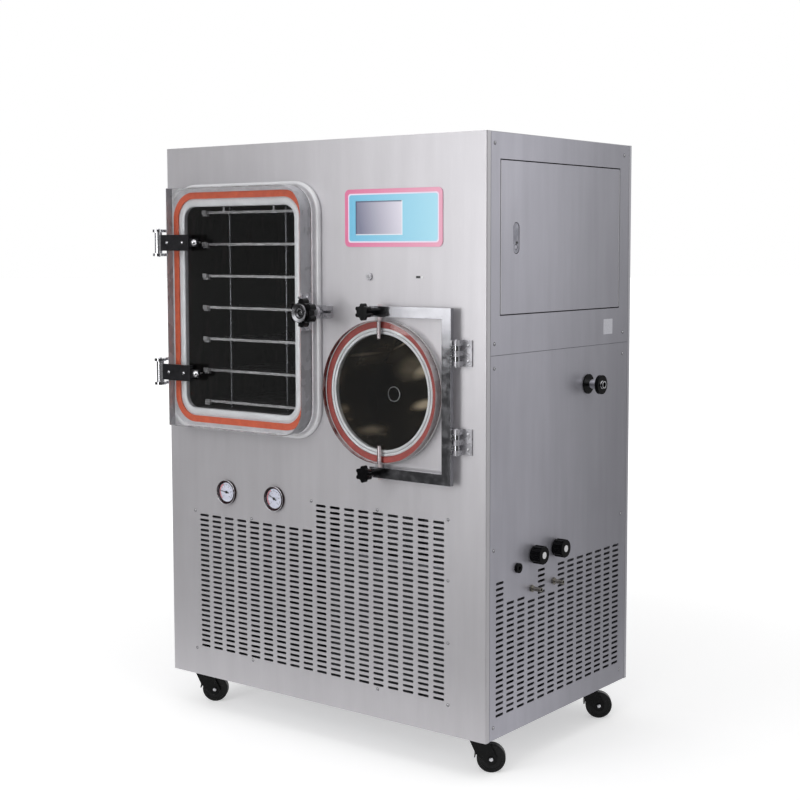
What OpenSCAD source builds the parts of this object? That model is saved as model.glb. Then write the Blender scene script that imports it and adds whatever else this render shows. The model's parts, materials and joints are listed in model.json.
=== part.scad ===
// Pilot freeze dryer: a shelf chamber and a cold trap in a sheet metal cabinet on four casters.
// Millimetres, +Z up, the doors face -Y. Each module is drawn in the cabinet's own corner frame
// (x from the left side, y from the front panel, z from the underside of the cabinet), and
// place() then moves it so that the origin lies on the floor under the middle of the whole.

/* [Cabinet] */
// Width of the cabinet
body_w = 1120; // [1100:10:1400]
// Depth of the cabinet
body_d = 725; // [700:5:900]
// Height of the cabinet without its casters
body_h = 1530; // [1500:10:1900]
// Thickness of every sheet panel
sheet = 2; // [1.5:0.5:3]
// Depth of the fold that wraps a vertical edge
edge_fold = 15; // [12:1:20]
// Outside radius of that fold
fold_r = 4; // [3.5:0.5:8]
// Height of the seam between the upper and the lower side panel
seam_z = 977; // [950:1:1040]
// Gap between neighbouring panels
panel_gap = 1.5; // [1:0.5:3]
// Side of the square tube of the inner frame
tube = 40; // [35:5:45]
// Distance from a panel's edge line to its screws
screw_inset = 33; // [25:1:36]
// Diameter of the panel screws
screw_d = 4; // [3:0.5:5]

/* [Vents] */
// Length of one vent slot
slot_l = 35; // [25:1:40]
// Height of one vent slot
slot_h = 7; // [5:0.5:9]
// Distance between slot columns
slot_pitch = 49.3; // [44:0.1:52]
// Distance between slot rows
slot_rise = 14.8; // [12:0.1:18]
// Height of the lowest row on the front
front_vent_z = 90; // [85:1:110]
// Centre of the first slot column on the front
front_vent_x = 135; // [110:1:160]
// Columns in the left part of the front vent
left_cols = 9; // [6:1:9]
// Rows in the left part of the front vent
left_rows = 27; // [20:1:27]
// Columns in the right part of the front vent
right_cols = 9; // [6:1:9]
// Rows in the right part of the front vent
right_rows = 32; // [24:1:32]
// Height of the lowest row on the side
side_vent_z = 60; // [55:1:90]
// Distance from the front panel to the first slot column on the side
side_vent_y = 61; // [55:1:80]
// Columns of the side vent
side_cols = 13; // [8:1:13]
// Rows of the side vent
side_rows = 24; // [16:1:24]

/* [Shelf chamber] */
// Width of the chamber's mouth
mouth_w = 416; // [340:2:440]
// Height of the chamber's mouth
mouth_h = 570; // [560:2:600]
// Corner radius of the mouth
mouth_r = 36; // [20:1:38]
// Depth of the chamber
chamber_depth = 520; // [440:5:560]
// Wall of the chamber
chamber_wall = 4; // [3:0.5:8]
// Centre of the mouth from the left side
chamber_x = 310; // [305:1:330]
// Centre of the mouth above the cabinet's underside
chamber_z = 1076; // [1060:1:1140]
// Width of the flange beside the mouth
flange_side = 67; // [60:1:70]
// Width of the flange above and below the mouth
flange_end = 60; // [56:1:66]
// Thickness of the flange
flange_t = 10; // [8:1:14]
// Outside corner radius of the flange
flange_r = 85; // [60:1:90]
// Distance from the mouth to the gasket
gasket_in = 22; // [16:1:26]
// Width of the gasket
gasket_w = 18; // [12:1:20]
// Depth of the groove that holds a gasket
groove = 2; // [1:0.5:4]
// Height of a gasket above its flange
gasket_proud = 3.7; // [3:0.1:5]

/* [Shelves] */
// Number of shelves
shelf_n = 7; // [4:1:7]
// Distance between shelves
shelf_pitch = 90; // [70:1:90]
// Thickness of a shelf
shelf_t = 7; // [6:1:14]
// Depth of a shelf
shelf_d = 420; // [340:5:420]
// Gap from a shelf to the chamber's side walls
shelf_side_gap = 24; // [20:1:34]
// Distance from the chamber's mouth to the front edge of the shelves
shelf_front = 45; // [30:1:60]
// Gap over the top shelf
shelf_top_gap = 12; // [8:1:16]
// Diameter of the posts that carry the shelves
post_d = 9; // [6:1:14]
// Distance between the left and the right posts
post_span = 214; // [160:2:240]
// Distance from a shelf's front or back edge to its posts
post_inset = 26; // [20:1:40]

/* [Chamber door] */
// Width of the clear door plate
door_w = 506; // [480:2:540]
// Height of the clear door plate
door_h = 676; // [660:2:690]
// Thickness of the clear door plate
door_t = 45; // [30:1:54]
// Radius of the two corners away from the hinges
door_r = 78; // [50:1:84]
// Gap between a closed door and its gasket
seal_gap = 0.3; // [0.2:0.1:0.6]
// Height of a hinge above and below the middle of the door
hinge_dz = 184; // [150:1:220]
// Distance from the left side to the door's hinge line
hinge_x = 30; // [28:1:32]
// Diameter of the door's hinge pins
hinge_pin_d = 10; // [8:0.5:12]
// Height of a hinge bracket
bracket_h = 76; // [66:1:90]
// Thickness of a bracket's two ears
ear_t = 8; // [6:1:10]
// Height of the black hinge arm
arm_h = 45; // [36:1:50]
// Thickness of the black hinge arm
arm_t = 12; // [10:1:14]
// Length of the arm from the hinge line
arm_l = 127; // [100:1:150]
// Diameter of the dome bolt that holds the arm's tongue
dome_bolt_d = 8; // [6:1:10]
// Distance from the left side to the door's clamp screw
clamp_x = 606; // [605:1:616]
// Diameter of the door's clamp screw
clamp_d = 10; // [8:1:12]
// Diameter of the star knob across its lobes
star_d = 76; // [60:1:84]
// Thickness of the star knob
star_t = 28; // [22:1:32]
// Length of the sleeve under the star knob
sleeve_l = 25; // [18:1:30]

/* [Cold trap] */
// Inside radius of the trap drum
trap_r = 151; // [125:1:156]
// Depth of the trap drum
trap_depth = 190; // [150:5:240]
// Wall of the trap drum
trap_wall = 4; // [3:0.5:6]
// Gap between the chamber's flange and the trap's disc
trap_clear = 32; // [28:1:40]
// Centre of the trap above the cabinet's underside
trap_z = 873; // [850:1:900]
// Width of the trap's flange around the drum's mouth
trap_rim = 35; // [32:1:38]
// Thickness of the trap's flange
trap_flange_t = 8; // [6:1:10]
// Distance from the drum's mouth to its gasket
trap_gasket_in = 16; // [12:1:18]
// Width of the trap's gasket
trap_gasket_w = 16; // [12:1:16]
// Thickness of the clear trap disc
disc_t = 22; // [18:1:30]
// Width of the frame bars around the disc
bar_w = 28; // [24:1:34]
// Thickness of the frame bars
bar_t = 12; // [10:1:16]
// Gap above and below the disc inside its frame
bar_gap = 9; // [6:1:14]
// Gap beside the disc at the hinge side of its frame
bar_side_gap = 14; // [10:1:18]
// Distance from the disc's middle back to the line of the clamp knobs
trap_clamp_dx = 18; // [14:1:30]
// Diameter of the pivot screws that carry the disc
pivot_d = 8; // [6:1:8]
// Diameter of the sleeves on those screws inside the disc
pivot_sleeve_d = 13; // [11:1:14]
// Diameter of the studs on the trap's clamp knobs
stud_d = 8; // [6:1:10]
// Diameter of the trap's star knobs
small_star_d = 44; // [36:1:50]
// Height of a trap hinge above and below the trap's middle
trap_hinge_dz = 111; // [90:1:130]
// Length of a trap hinge
trap_hinge_l = 66; // [55:1:80]
// Diameter of the trap's hinge pins
trap_pin_d = 8; // [6:0.5:9]

/* [Controls] */
// Width of the control overlay
hmi_w = 316; // [280:2:330]
// Height of the control overlay
hmi_h = 149; // [130:1:160]
// Thickness of the control overlay
hmi_t = 2.5; // [1.5:0.5:4]
// Centre of the overlay from the left side
hmi_x = 829; // [820:1:840]
// Centre of the overlay above the cabinet's underside
hmi_z = 1322; // [1300:1:1400]
// Width of the touch screen
screen_w = 154; // [140:1:160]
// Height of the touch screen
screen_h = 88; // [80:1:96]
// Diameter of the key switch
lock_d = 20; // [18:1:26]
// Diameter of the turning barrel of the key switch
barrel_d = 11; // [9:1:12]
// Diameter of a gauge's bezel
gauge_d = 70; // [60:1:76]
// Diameter of a gauge's spindle
spindle_d = 3; // [2:0.5:4]

/* [Right side] */
// Length of the access door along the side
access_w = 595; // [520:5:600]
// Height of the access door
access_h = 382; // [340:2:400]
// Distance from the front panel to the access door's near edge
access_y = 60; // [58:1:80]
// Height of the access door's lower edge
access_z = 1079; // [1075:1:1110]
// Gap around the access door
access_gap = 3; // [3:0.5:4]
// Length of the flush latch
latch_l = 86; // [70:1:96]
// Width of the flush latch
latch_w = 35; // [30:1:40]
// Outside diameter of the vacuum port's tube
port_d = 26; // [22:1:34]
// Inside diameter of the vacuum port
port_bore = 15; // [10:1:17]
// Reach of the vacuum port from the side panel
port_reach = 52; // [44:1:60]
// Diameter of a drain valve's knob
valve_knob_d = 50; // [40:1:56]
// Diameter of a drain valve's spindle
valve_spindle_d = 8; // [6:1:10]
// Diameter of a hose spigot
spigot_d = 12; // [10:1:14]
// Length of a hose spigot past its nut
spigot_l = 26; // [20:1:34]

/* [Machine compartment] */
// Width of the condenser
condenser_w = 420; // [380:5:440]
// Height of the condenser
condenser_h = 420; // [340:5:440]
// Thickness of the condenser's fin block
condenser_t = 44; // [30:1:60]
// Diameter of the fan
fan_d = 300; // [240:5:320]
// Diameter of the fan motor's shaft
fan_shaft_d = 10; // [8:1:14]
// Diameter of the compressor's shell
compressor_d = 190; // [160:5:200]

/* [Casters] */
// Diameter of a caster's wheel
wheel_d = 75; // [60:1:90]
// Width of a caster's wheel
wheel_w = 26; // [20:1:32]
// Gap between the top of a wheel and the underside of the cabinet
caster_head = 25; // [24:1:40]
// Distance from a caster's swivel line to its axle
caster_trail = 34; // [24:1:36]
// Diameter of a caster's axle
axle_d = 8; // [6:1:10]
// Diameter of a caster's king pin
king_d = 12; // [10:1:14]
// Distance from a side to the swivel line
caster_side = 65; // [60:1:80]
// Distance from the front to the swivel line of the front casters
caster_front = 60; // [55:1:80]
// Distance from the back to the swivel line of the rear casters
caster_rear = 115; // [60:1:130]
// Direction of the wheels at rest, turned from +X towards the back
caster_turn = 34; // [0:1:60]

/* [Fits] */
// Radial clearance of a pin or shaft that turns in its bore
run_fit = 0.05; // [0.02:0.01:0.1]
// Gap between faces that pass each other
face_gap = 0.3; // [0.2:0.1:0.5]
// Radial clearance of a stud in the plain part of its seat
seat_fit = 1.5; // [1.2:0.1:2]

/* [Hidden] */
$fn = 48;

// Chamber, its flange and its door
flange_w = mouth_w + 2 * flange_side;
flange_h = mouth_h + 2 * flange_end;
door_back = -(flange_t + gasket_proud + seal_gap);
door_front = door_back - door_t;
door_left = chamber_x - door_w / 2;
door_right = chamber_x + door_w / 2;
hinge_y = door_front - arm_t / 2;
hinge_zs = [chamber_z + hinge_dz, chamber_z - hinge_dz];
bracket_r = hinge_pin_d / 2 + 12;
knuckle_h = bracket_h - 2 * ear_t - 2 * face_gap;
tongue_l = 28;
tongue_h = 22;
tongue_t = 8;
dome_x = hinge_x + arm_l + 19;
arm_screw_d = 5;
arm_screw_xs = [door_left + 15, door_left + 75];
bolt_depth = 25;
arm_screw_depth = 15;
clamp_plate_t = 4;
clamp_plate_h = 100;
clamp_ear_t = 10;
clamp_ear_h = 36;
clamp_screw_dz = 37;
clamp_screw_d = 6;
clamp_screw_l = 18;
keeper_w = 36;
keeper_t = 24;
keeper_h = 35;
keeper_hole = 18;
clamp_tip = -(keeper_t - 10);
sleeve_back = door_front - face_gap;
knob_back = sleeve_back - sleeve_l;
knob_front = -(knob_back - star_t);

// Shelves, counted from the top
shelf_w = mouth_w - 2 * shelf_side_gap;
shelf_top = chamber_z + mouth_h / 2 - shelf_top_gap;
post_xs = [-post_span / 2, post_span / 2];
post_ys = [shelf_front + post_inset, shelf_front + shelf_d - post_inset];

// Cold trap
disc_r = trap_r + trap_rim;
trap_x = chamber_x + flange_w / 2 + trap_clear + disc_r;
disc_back = -(trap_flange_t + gasket_proud + seal_gap);
disc_mid = disc_back - disc_t / 2;
disc_front = disc_back - disc_t;
bar_back = disc_mid + bar_t / 2;
bar_front = disc_mid - bar_t / 2;
frame_in = disc_r + bar_gap;
frame_out = frame_in + bar_w;
frame_right = trap_x + disc_r + bar_side_gap + bar_w;
clamp_line = trap_x - trap_clamp_dx;
clamp_dz = frame_in + bar_w / 2;
pivot_hole_l = 48;
pivot_in = 46;
boss_r = stud_d / 2 + 7;
boss_l = -bar_back - face_gap;
stud_tip = -boss_l + 9;
collar_l = 31;
collar_r = boss_r;
small_star_t = 16;
trap_knuckle_r = trap_pin_d / 2 + 4;
trap_axis_x = frame_right + trap_knuckle_r + 7;
trap_axis_y = disc_mid;
trap_hinge_zs = [trap_z + trap_hinge_dz, trap_z - trap_hinge_dz];
knuckle_n = 5;
leaf_t = 4;
leaf_w = 36;

// Vapour duct between the two vessels
duct_r = 24;
duct_wall = 3;
duct_dx = -108;
duct_dz = -27;
duct_y = trap_depth + 110;
duct_collar = 6;

// Gauges, key switch and touch screen
gauge_z = 552;
gauge_xs = [229, 412];
gauge_proud = 9;
gauge_body_r = gauge_d / 2 - 5;
dial_y = -3;
needle_l = 24;
needle_angles = [172, 154];
lock_x = 751;
lock_z = 1171;
lock_body_r = lock_d / 2 - 2;
lock_l = 24;
lock_proud = 5;
usb_x = 909;
screen_x = hmi_x - 45;
screen_t = 14;

// Access door and its latch
access_hinge_zs = [access_z + 70, access_z + access_h - 70];
access_axis_x = body_w - 7;
access_axis_y = access_y + access_w - 5.5;
access_pin_d = 4;
access_knuckle_r = 4;
access_knuckle_l = 18;
latch_y = 130;
latch_z = 1269;
latch_tray = 9;
latch_gap = 1.5;
latch_pin_d = 4;
latch_pin_z = latch_z + latch_l / 2 - latch_gap - 8;
latch_pin_l = 27;
latch_button_z = latch_z - latch_l / 2 + latch_w / 2 + 3;
latch_button_r = 5.5;

// Vacuum port, drain valves and cable gland
port_y = 490;
port_z = 874;
port_collar_r = 27;
port_disc_r = 26;
port_disc_t = 10;
port_nose = 6;
port_nose_r = 10;
port_seat_r = port_nose_r + 1;
port_inside = 60;
valve_ys = [219, 327];
valve_z = 449;
spigot_dy = -11;
spigot_z = 360;
valve_block_t = 26;
valve_knob_l = 30;
bonnet_r = 9;
nut_r = 10;
nut_t = 6;
gland_y = 141;
gland_z = 426;
gland_r = 13;
gland_bore_r = 5;

// Screws of the side and rear panels: two rows on the upper panel and three on the lower one
screw_rows_z = [33, 488, seam_z - 31, seam_z + 30, body_h - 29];
screw_cols_y = [screw_inset, body_d - screw_inset - 11];
screw_cols_x = [screw_inset, body_w - screw_inset];
side_screws = [for (y = screw_cols_y, z = screw_rows_z) [y, z]];
rear_screws = [for (x = screw_cols_x, z = screw_rows_z) [x, z]];

// Inner frame
rail_ys = [150, 450];
mid_post_x = chamber_x + mouth_w / 2 + chamber_wall + 2;
inner_top = body_h - sheet;

// Machine compartment
condenser_x = front_vent_x + (left_cols + (right_cols - 1) / 2) * slot_pitch;
condenser_y = tube + sheet + 2;
condenser_z = sheet + condenser_h / 2;
shroud_l = 60;
shroud_t = 3;
fan_y = condenser_y + condenser_t + shroud_l;
fan_blade_n = 5;
fan_hub_r = 32;
fan_hub_l = 26;
motor_r = 46;
motor_l = 80;
motor_y = fan_y + fan_hub_l / 2 + 8;
compressor_x = 300;
compressor_y = 330;
compressor_h = 250;

// Casters
wheel_r = wheel_d / 2;
axle_z = -caster_head - wheel_r;
crown_top = -4;
crown_t = 8;
leg_t = 4;
leg_y = wheel_w / 2 + 1.5;
fender_gap = 3.5;
fender_t = 3;
caster_xy = [
    [caster_side, caster_front],
    [body_w - caster_side, caster_front],
    [caster_side, body_d - caster_rear],
    [body_w - caster_side, body_d - caster_rear]
];

// Whole object
screw_head_h = 1.6;
caster_h = wheel_d + caster_head;
origin_x = (body_w + port_reach - screw_head_h) / 2;
origin_y = (body_d - knob_front + screw_head_h) / 2;

// Colours
STEEL = [0.70, 0.70, 0.72];
DARK_STEEL = [0.55, 0.55, 0.58];
CHROME = [0.86, 0.86, 0.88];
CLEAR = [0.82, 0.88, 0.90, 0.35];
BLACK = [0.05, 0.05, 0.06];
SILICONE = [0.76, 0.33, 0.20];
NICKEL = [0.74, 0.71, 0.66];

// ---- Shared shapes -------------------------------------------------------------------------

// Moves a piece from the cabinet's corner frame to the floor frame of the whole object
module place() {
    translate([-origin_x, -origin_y, caster_h]) children();
}

// A flat shape drawn in x and z, made solid from y0 to y1
module along_y(y0, y1) {
    translate([0, y1, 0]) rotate([90, 0, 0]) linear_extrude(y1 - y0) children();
}

// A flat shape drawn in y and z, made solid from x0 to x1
module along_x(x0, x1) {
    translate([x0, 0, 0]) rotate([90, 0, 90]) linear_extrude(x1 - x0) children();
}

// A round bar along Y at x and z, from y0 to y1
module rod_y(x, z, r, y0, y1) {
    along_y(y0, y1) translate([x, z]) circle(r);
}

// A round bar along X at y and z, from x0 to x1
module rod_x(y, z, r, x0, x1) {
    along_x(x0, x1) translate([y, z]) circle(r);
}

// A round bar along Z at x and y, from z0 to z1
module rod_z(x, y, r, z0, z1) {
    translate([x, y, z0]) cylinder(r = r, h = z1 - z0);
}

// A rectangle with round corners, centred
module rounded(w, h, r) {
    square([w - 2 * r, h], center = true);
    square([w, h - 2 * r], center = true);
    for (sx = [-1, 1], sy = [-1, 1])
        translate([sx * (w / 2 - r), sy * (h / 2 - r)]) circle(r);
}

// A slot with full round ends, lying along the first axis
module slot(l, h) {
    square([l - h, h], center = true);
    for (s = [-1, 1]) translate([s * (l - h) / 2, 0]) circle(d = h);
}

// A star outline with round lobes
module star(d, lobes) {
    lobe_r = d / 8;
    circle(d / 2 - lobe_r);
    for (i = [0:lobes - 1])
        rotate(90 + i * 360 / lobes) translate([d / 2 - lobe_r, 0]) circle(lobe_r);
}

// A dome with its flat side on z = 0
module dome(r, h) {
    sphere_r = (r * r + h * h) / (2 * h);
    intersection() {
        translate([0, 0, h - sphere_r]) sphere(sphere_r);
        cylinder(r = r, h = h);
    }
}

// ---- Cabinet -------------------------------------------------------------------------------

// Slots of the front vent: the right part has more rows, on the same lowest row
module front_slots() {
    for (c = [0:left_cols + right_cols - 1], r = [0:(c < left_cols ? left_rows : right_rows) - 1])
        translate([front_vent_x + c * slot_pitch, front_vent_z + r * slot_rise])
            slot(slot_l, slot_h);
}

// Slots of the side vent, without those that the drain valves need
module side_slots() {
    for (c = [0:side_cols - 1], r = [0:side_rows - 1])
        if (!side_blank(c, side_rows - 1 - r))
            translate([side_vent_y + c * slot_pitch, side_vent_z + r * slot_rise])
                slot(slot_l, slot_h);
}

// True where the row that is from_top rows below the top one has no slot
function side_blank(c, from_top) =
    ((c == 1 || c == 2) && from_top < 4) || ((c == 3 || c == 5) && from_top < 5);

// Screws around the front vent, which hold the filter frame behind it
function vent_screws() = let (
    top_l = front_vent_z + left_rows * slot_rise,
    top_r = front_vent_z + right_rows * slot_rise,
    low = front_vent_z - 0.8 * slot_rise,
    x0 = front_vent_x - 0.75 * slot_pitch,
    x1 = front_vent_x + (left_cols - 0.7) * slot_pitch,
    x2 = front_vent_x + (left_cols + right_cols - 0.4) * slot_pitch
) [
    [x0, top_l - 5], [x0, low], [(x0 + x1) / 2, top_l - 5], [(x0 + x1) / 2, low],
    [x1, top_r - 5], [(x1 + x2) / 2, top_r - 5], [(x1 + x2) / 2, low],
    [x2, top_r - 5], [x2, (2 * top_r + low) / 3], [x2, (top_r + 2 * low) / 3], [x2, low]
];

// Cut-outs in the front panel
module front_cuts() {
    translate([chamber_x, chamber_z])
        rounded(mouth_w + 2 * chamber_wall + 4, mouth_h + 2 * chamber_wall + 4, mouth_r + 6);
    translate([trap_x, trap_z]) circle(trap_r + trap_wall + 2);
    translate([screen_x, hmi_z]) square([screen_w - 8, screen_h - 8], center = true);
    translate([lock_x, lock_z]) circle(lock_body_r + 0.2);
    translate([usb_x, lock_z]) square([14, 6], center = true);
    for (x = gauge_xs) translate([x, gauge_z]) circle(gauge_body_r + 0.5);
    for (p = vent_screws()) translate(p) circle(d = screw_d + 0.1);
    front_slots();
}

// A sheet with a fold along both vertical edges, seen from above
module folded_profile() {
    translate([fold_r, 0]) square([body_w - 2 * fold_r, sheet]);
    for (side = [0, 1])
        translate([side * body_w, 0]) mirror([side, 0]) {
            translate([0, fold_r]) square([sheet, edge_fold - fold_r]);
            translate([fold_r, fold_r]) intersection() {
                difference() {
                    circle(fold_r);
                    circle(fold_r - sheet);
                }
                translate([-fold_r, -fold_r]) square(fold_r);
            }
        }
}

module front_panel() {
    color(STEEL) place() difference() {
        linear_extrude(body_h) folded_profile();
        along_y(-1, sheet + 1) front_cuts();
    }
}

module rear_panel() {
    color(STEEL) place() difference() {
        translate([0, body_d, 0]) mirror([0, 1, 0]) linear_extrude(body_h) folded_profile();
        for (p = rear_screws) rod_y(p[0], p[1], screw_d / 2 + run_fit, body_d - 5, body_d + 1);
    }
}

// The space inside the panels, seen from above
module inner_outline() {
    translate([body_w / 2, body_d / 2])
        rounded(body_w - 2 * sheet, body_d - 2 * sheet, fold_r - sheet + 0.5);
}

// The top cover and the floor pan
module cover_plates() {
    color(STEEL) place() for (z = [0, inner_top])
        translate([0, 0, z]) linear_extrude(sheet) inner_outline();
}

// One side panel from z0 to z1, as a flat shape
module side_outline(z0, z1) {
    difference() {
        translate([edge_fold + panel_gap, z0])
            square([body_d - 2 * (edge_fold + panel_gap), z1 - z0]);
        for (p = side_screws) translate(p) circle(screw_d / 2 + run_fit);
    }
}

module left_panel() {
    color(STEEL) place() along_x(0, sheet) side_outline(panel_gap, inner_top);
}

module right_upper_panel() {
    color(STEEL) place() along_x(body_w - sheet, body_w) difference() {
        side_outline(seam_z + panel_gap, inner_top);
        translate([access_y - access_gap, access_z - access_gap])
            square([access_w + 2 * access_gap, access_h + 2 * access_gap]);
    }
}

module right_lower_panel() {
    color(STEEL) place() along_x(body_w - sheet, body_w) difference() {
        side_outline(panel_gap, seam_z);
        side_slots();
        translate([port_y, port_z]) circle(port_d / 2 + 0.5);
        for (y = valve_ys) {
            translate([y, valve_z]) circle(bonnet_r + 0.5);
            translate([y + spigot_dy, spigot_z]) circle(spigot_d / 2 + 0.5);
        }
        translate([gland_y, gland_z]) circle(gland_r - 3 + 0.3);
    }
}

// A box given by its two corners
module block(a, b) {
    translate(a) cube(b - a);
}

// Bars of the inner frame, and the cross bars that carry the two vessels
module frame_bars() {
    lo_x = sheet;
    hi_x = body_w - sheet;
    lo_y = sheet;
    hi_y = body_d - sheet;
    saddle_z = trap_z - trap_r - trap_wall - face_gap;
    carrier_z = chamber_z - mouth_h / 2 - chamber_wall;
    for (x = [lo_x, hi_x - tube], y = [lo_y, hi_y - tube])
        block([x, y, sheet], [x + tube, y + tube, inner_top]);
    for (z = [sheet, inner_top - tube]) {
        for (y = [lo_y, hi_y - tube]) block([lo_x, y, z], [hi_x, y + tube, z + tube]);
        for (x = [lo_x, hi_x - tube]) block([x, lo_y, z], [x + tube, hi_y, z + tube]);
        for (y = rail_ys) block([lo_x, y, z], [hi_x, y + tube, z + tube]);
    }
    for (x = [lo_x, hi_x - tube]) {
        block([x, lo_y, seam_z - tube / 2], [x + tube, hi_y, seam_z + tube / 2]);
        block([x, lo_y, carrier_z - tube], [x + tube, hi_y, carrier_z]);
    }
    for (y = rail_ys) {
        block([mid_post_x, y, sheet], [mid_post_x + tube, y + tube, inner_top]);
        block([lo_x, y, carrier_z - tube], [mid_post_x, y + tube, carrier_z]);
    }
    block([mid_post_x, rail_ys[0], saddle_z - tube], [hi_x, rail_ys[0] + tube, saddle_z]);
}

module chassis() {
    color(DARK_STEEL) place() difference() {
        intersection() {
            linear_extrude(body_h) inner_outline();
            frame_bars();
        }
        for (p = side_screws) {
            rod_x(p[0], p[1], screw_d / 2 + run_fit, body_w - 12, body_w);
            rod_x(p[0], p[1], screw_d / 2 + run_fit, 0, 12);
        }
        for (p = rear_screws)
            rod_y(p[0], p[1], screw_d / 2 + run_fit, body_d - 12, body_d);
    }
}

// A panel screw along +Z, head up, with the underside of the head on z = 0
module panel_screw(head_r, l) {
    dome(head_r, screw_head_h);
    translate([0, 0, -l]) cylinder(d = screw_d, h = l);
}

module panel_screws() {
    color(CHROME) place() {
        for (p = side_screws) {
            translate([body_w, p[0], p[1]]) rotate([0, 90, 0]) panel_screw(4, 10);
            translate([0, p[0], p[1]]) rotate([0, -90, 0]) panel_screw(4, 10);
        }
        for (p = rear_screws)
            translate([p[0], body_d, p[1]]) rotate([-90, 0, 0]) panel_screw(4, 10);
        for (p = vent_screws())
            translate([p[0], 0, p[1]]) rotate([90, 0, 0]) panel_screw(3.5, 5);
    }
}

// ---- Shelf chamber -------------------------------------------------------------------------

// The mouth's outline grown by d on every side
module mouth(d) {
    rounded(mouth_w + 2 * d, mouth_h + 2 * d, mouth_r + d);
}

module drying_chamber() {
    color(STEEL) place() difference() {
        union() {
            along_y(0, chamber_depth + chamber_wall)
                translate([chamber_x, chamber_z]) mouth(chamber_wall);
            along_y(-flange_t, 0)
                translate([chamber_x, chamber_z]) rounded(flange_w, flange_h, flange_r);
        }
        along_y(-flange_t - 1, chamber_depth) translate([chamber_x, chamber_z]) mouth(0);
        along_y(-flange_t - 1, -flange_t + groove) translate([chamber_x, chamber_z]) difference() {
            mouth(gasket_in + gasket_w + 0.2);
            mouth(gasket_in - 0.2);
        }
        rod_x(duct_y, trap_z + duct_dz, duct_r - duct_wall, chamber_x, chamber_x + mouth_w);
    }
}

module chamber_gasket() {
    color(SILICONE) place()
        along_y(-flange_t - gasket_proud, -flange_t + groove)
            translate([chamber_x, chamber_z]) difference() {
                mouth(gasket_in + gasket_w);
                mouth(gasket_in);
            }
}

// Shelf i from the top, as a plate with a corner block at each side
module shelf(i) {
    z = shelf_top - i * shelf_pitch - shelf_t;
    difference() {
        union() {
            block([chamber_x - shelf_w / 2, shelf_front, z],
                  [chamber_x + shelf_w / 2, shelf_front + shelf_d, z + shelf_t]);
            for (s = [-1, 1])
                translate([chamber_x + s * (shelf_w / 2 - 8), shelf_front + 4, z + shelf_t / 2 - 3])
                    cube([18, 20, shelf_t + 8], center = true);
        }
        for (x = post_xs, y = post_ys)
            rod_z(chamber_x + x, y, post_d / 2 + run_fit, z - 5, z + shelf_t + 5);
    }
}

module shelves() {
    color(CHROME) place() for (i = [0:shelf_n - 1]) shelf(i);
}

// Posts from the chamber's floor to its ceiling, with a collar under every shelf
module shelf_posts() {
    low = chamber_z - mouth_h / 2;
    color(CHROME) place() for (x = post_xs, y = post_ys) {
        rod_z(chamber_x + x, y, post_d / 2, low, chamber_z + mouth_h / 2);
        for (i = [0:shelf_n - 1])
            rod_z(chamber_x + x, y, post_d / 2 + 3, shelf_top - i * shelf_pitch - shelf_t - 5,
                  shelf_top - i * shelf_pitch - shelf_t);
    }
}

// ---- Chamber door --------------------------------------------------------------------------

// Door plate seen from the front: square at the hinges, round at the other side
module door_outline() {
    translate([door_left, chamber_z - door_h / 2]) square([door_w - door_r, door_h]);
    translate([door_right - door_r, chamber_z - door_h / 2 + door_r])
        square([door_r, door_h - 2 * door_r]);
    for (s = [-1, 1])
        translate([door_right - door_r, chamber_z + s * (door_h / 2 - door_r)]) circle(door_r);
}

module drying_door() {
    color(CLEAR) place() difference() {
        along_y(door_front, door_back) door_outline();
        for (z = hinge_zs) {
            rod_y(dome_x, z, dome_bolt_d / 2 + run_fit, door_front - 1, door_front + bolt_depth + 1);
            for (x = arm_screw_xs)
                rod_y(x, z, arm_screw_d / 2 + run_fit, door_front - 1,
                      door_front + arm_screw_depth + 1);
        }
        for (s = [-1, 1])
            rod_x((door_front + door_back) / 2, chamber_z + s * clamp_screw_dz,
                  clamp_screw_d / 2 + run_fit, door_right - clamp_screw_l - 1, door_right + 1);
    }
}

// Cabinet side of one door hinge: a foot on the front panel and two ears around the arm
module hinge_bracket(z) {
    foot_w = chamber_x - flange_w / 2 - 4 - (hinge_x - bracket_r);
    ear_w = min(foot_w, bracket_r);
    difference() {
        union() {
            block([hinge_x - bracket_r, -6, z - bracket_h / 2],
                  [hinge_x - bracket_r + foot_w, 0, z + bracket_h / 2]);
            for (s = [-1, 1]) translate([0, 0, z + s * (bracket_h - ear_t) / 2 - ear_t / 2]) {
                translate([hinge_x - bracket_r, hinge_y, 0]) cube([ear_w, -hinge_y, ear_t]);
                rod_z(hinge_x, hinge_y, bracket_r, 0, ear_t);
            }
        }
        rod_z(hinge_x, hinge_y, hinge_pin_d / 2 + run_fit, z - bracket_h, z + bracket_h);
    }
}

module hinge_brackets() {
    color(CHROME) place() for (z = hinge_zs) hinge_bracket(z);
}

module hinge_pins() {
    color(CHROME) place() {
        for (z = hinge_zs)
            rod_z(hinge_x, hinge_y, hinge_pin_d / 2, z - bracket_h / 2 - 2, z + bracket_h / 2 + 2);
        for (z = trap_hinge_zs)
            rod_z(trap_axis_x, trap_axis_y, trap_pin_d / 2,
                  z - trap_hinge_l / 2 - 1.5, z + trap_hinge_l / 2 + 1.5);
        for (z = access_hinge_zs)
            rod_z(access_axis_x, access_axis_y, access_pin_d / 2,
                  z - 1.5 * access_knuckle_l, z + 1.5 * access_knuckle_l);
    }
}

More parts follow.
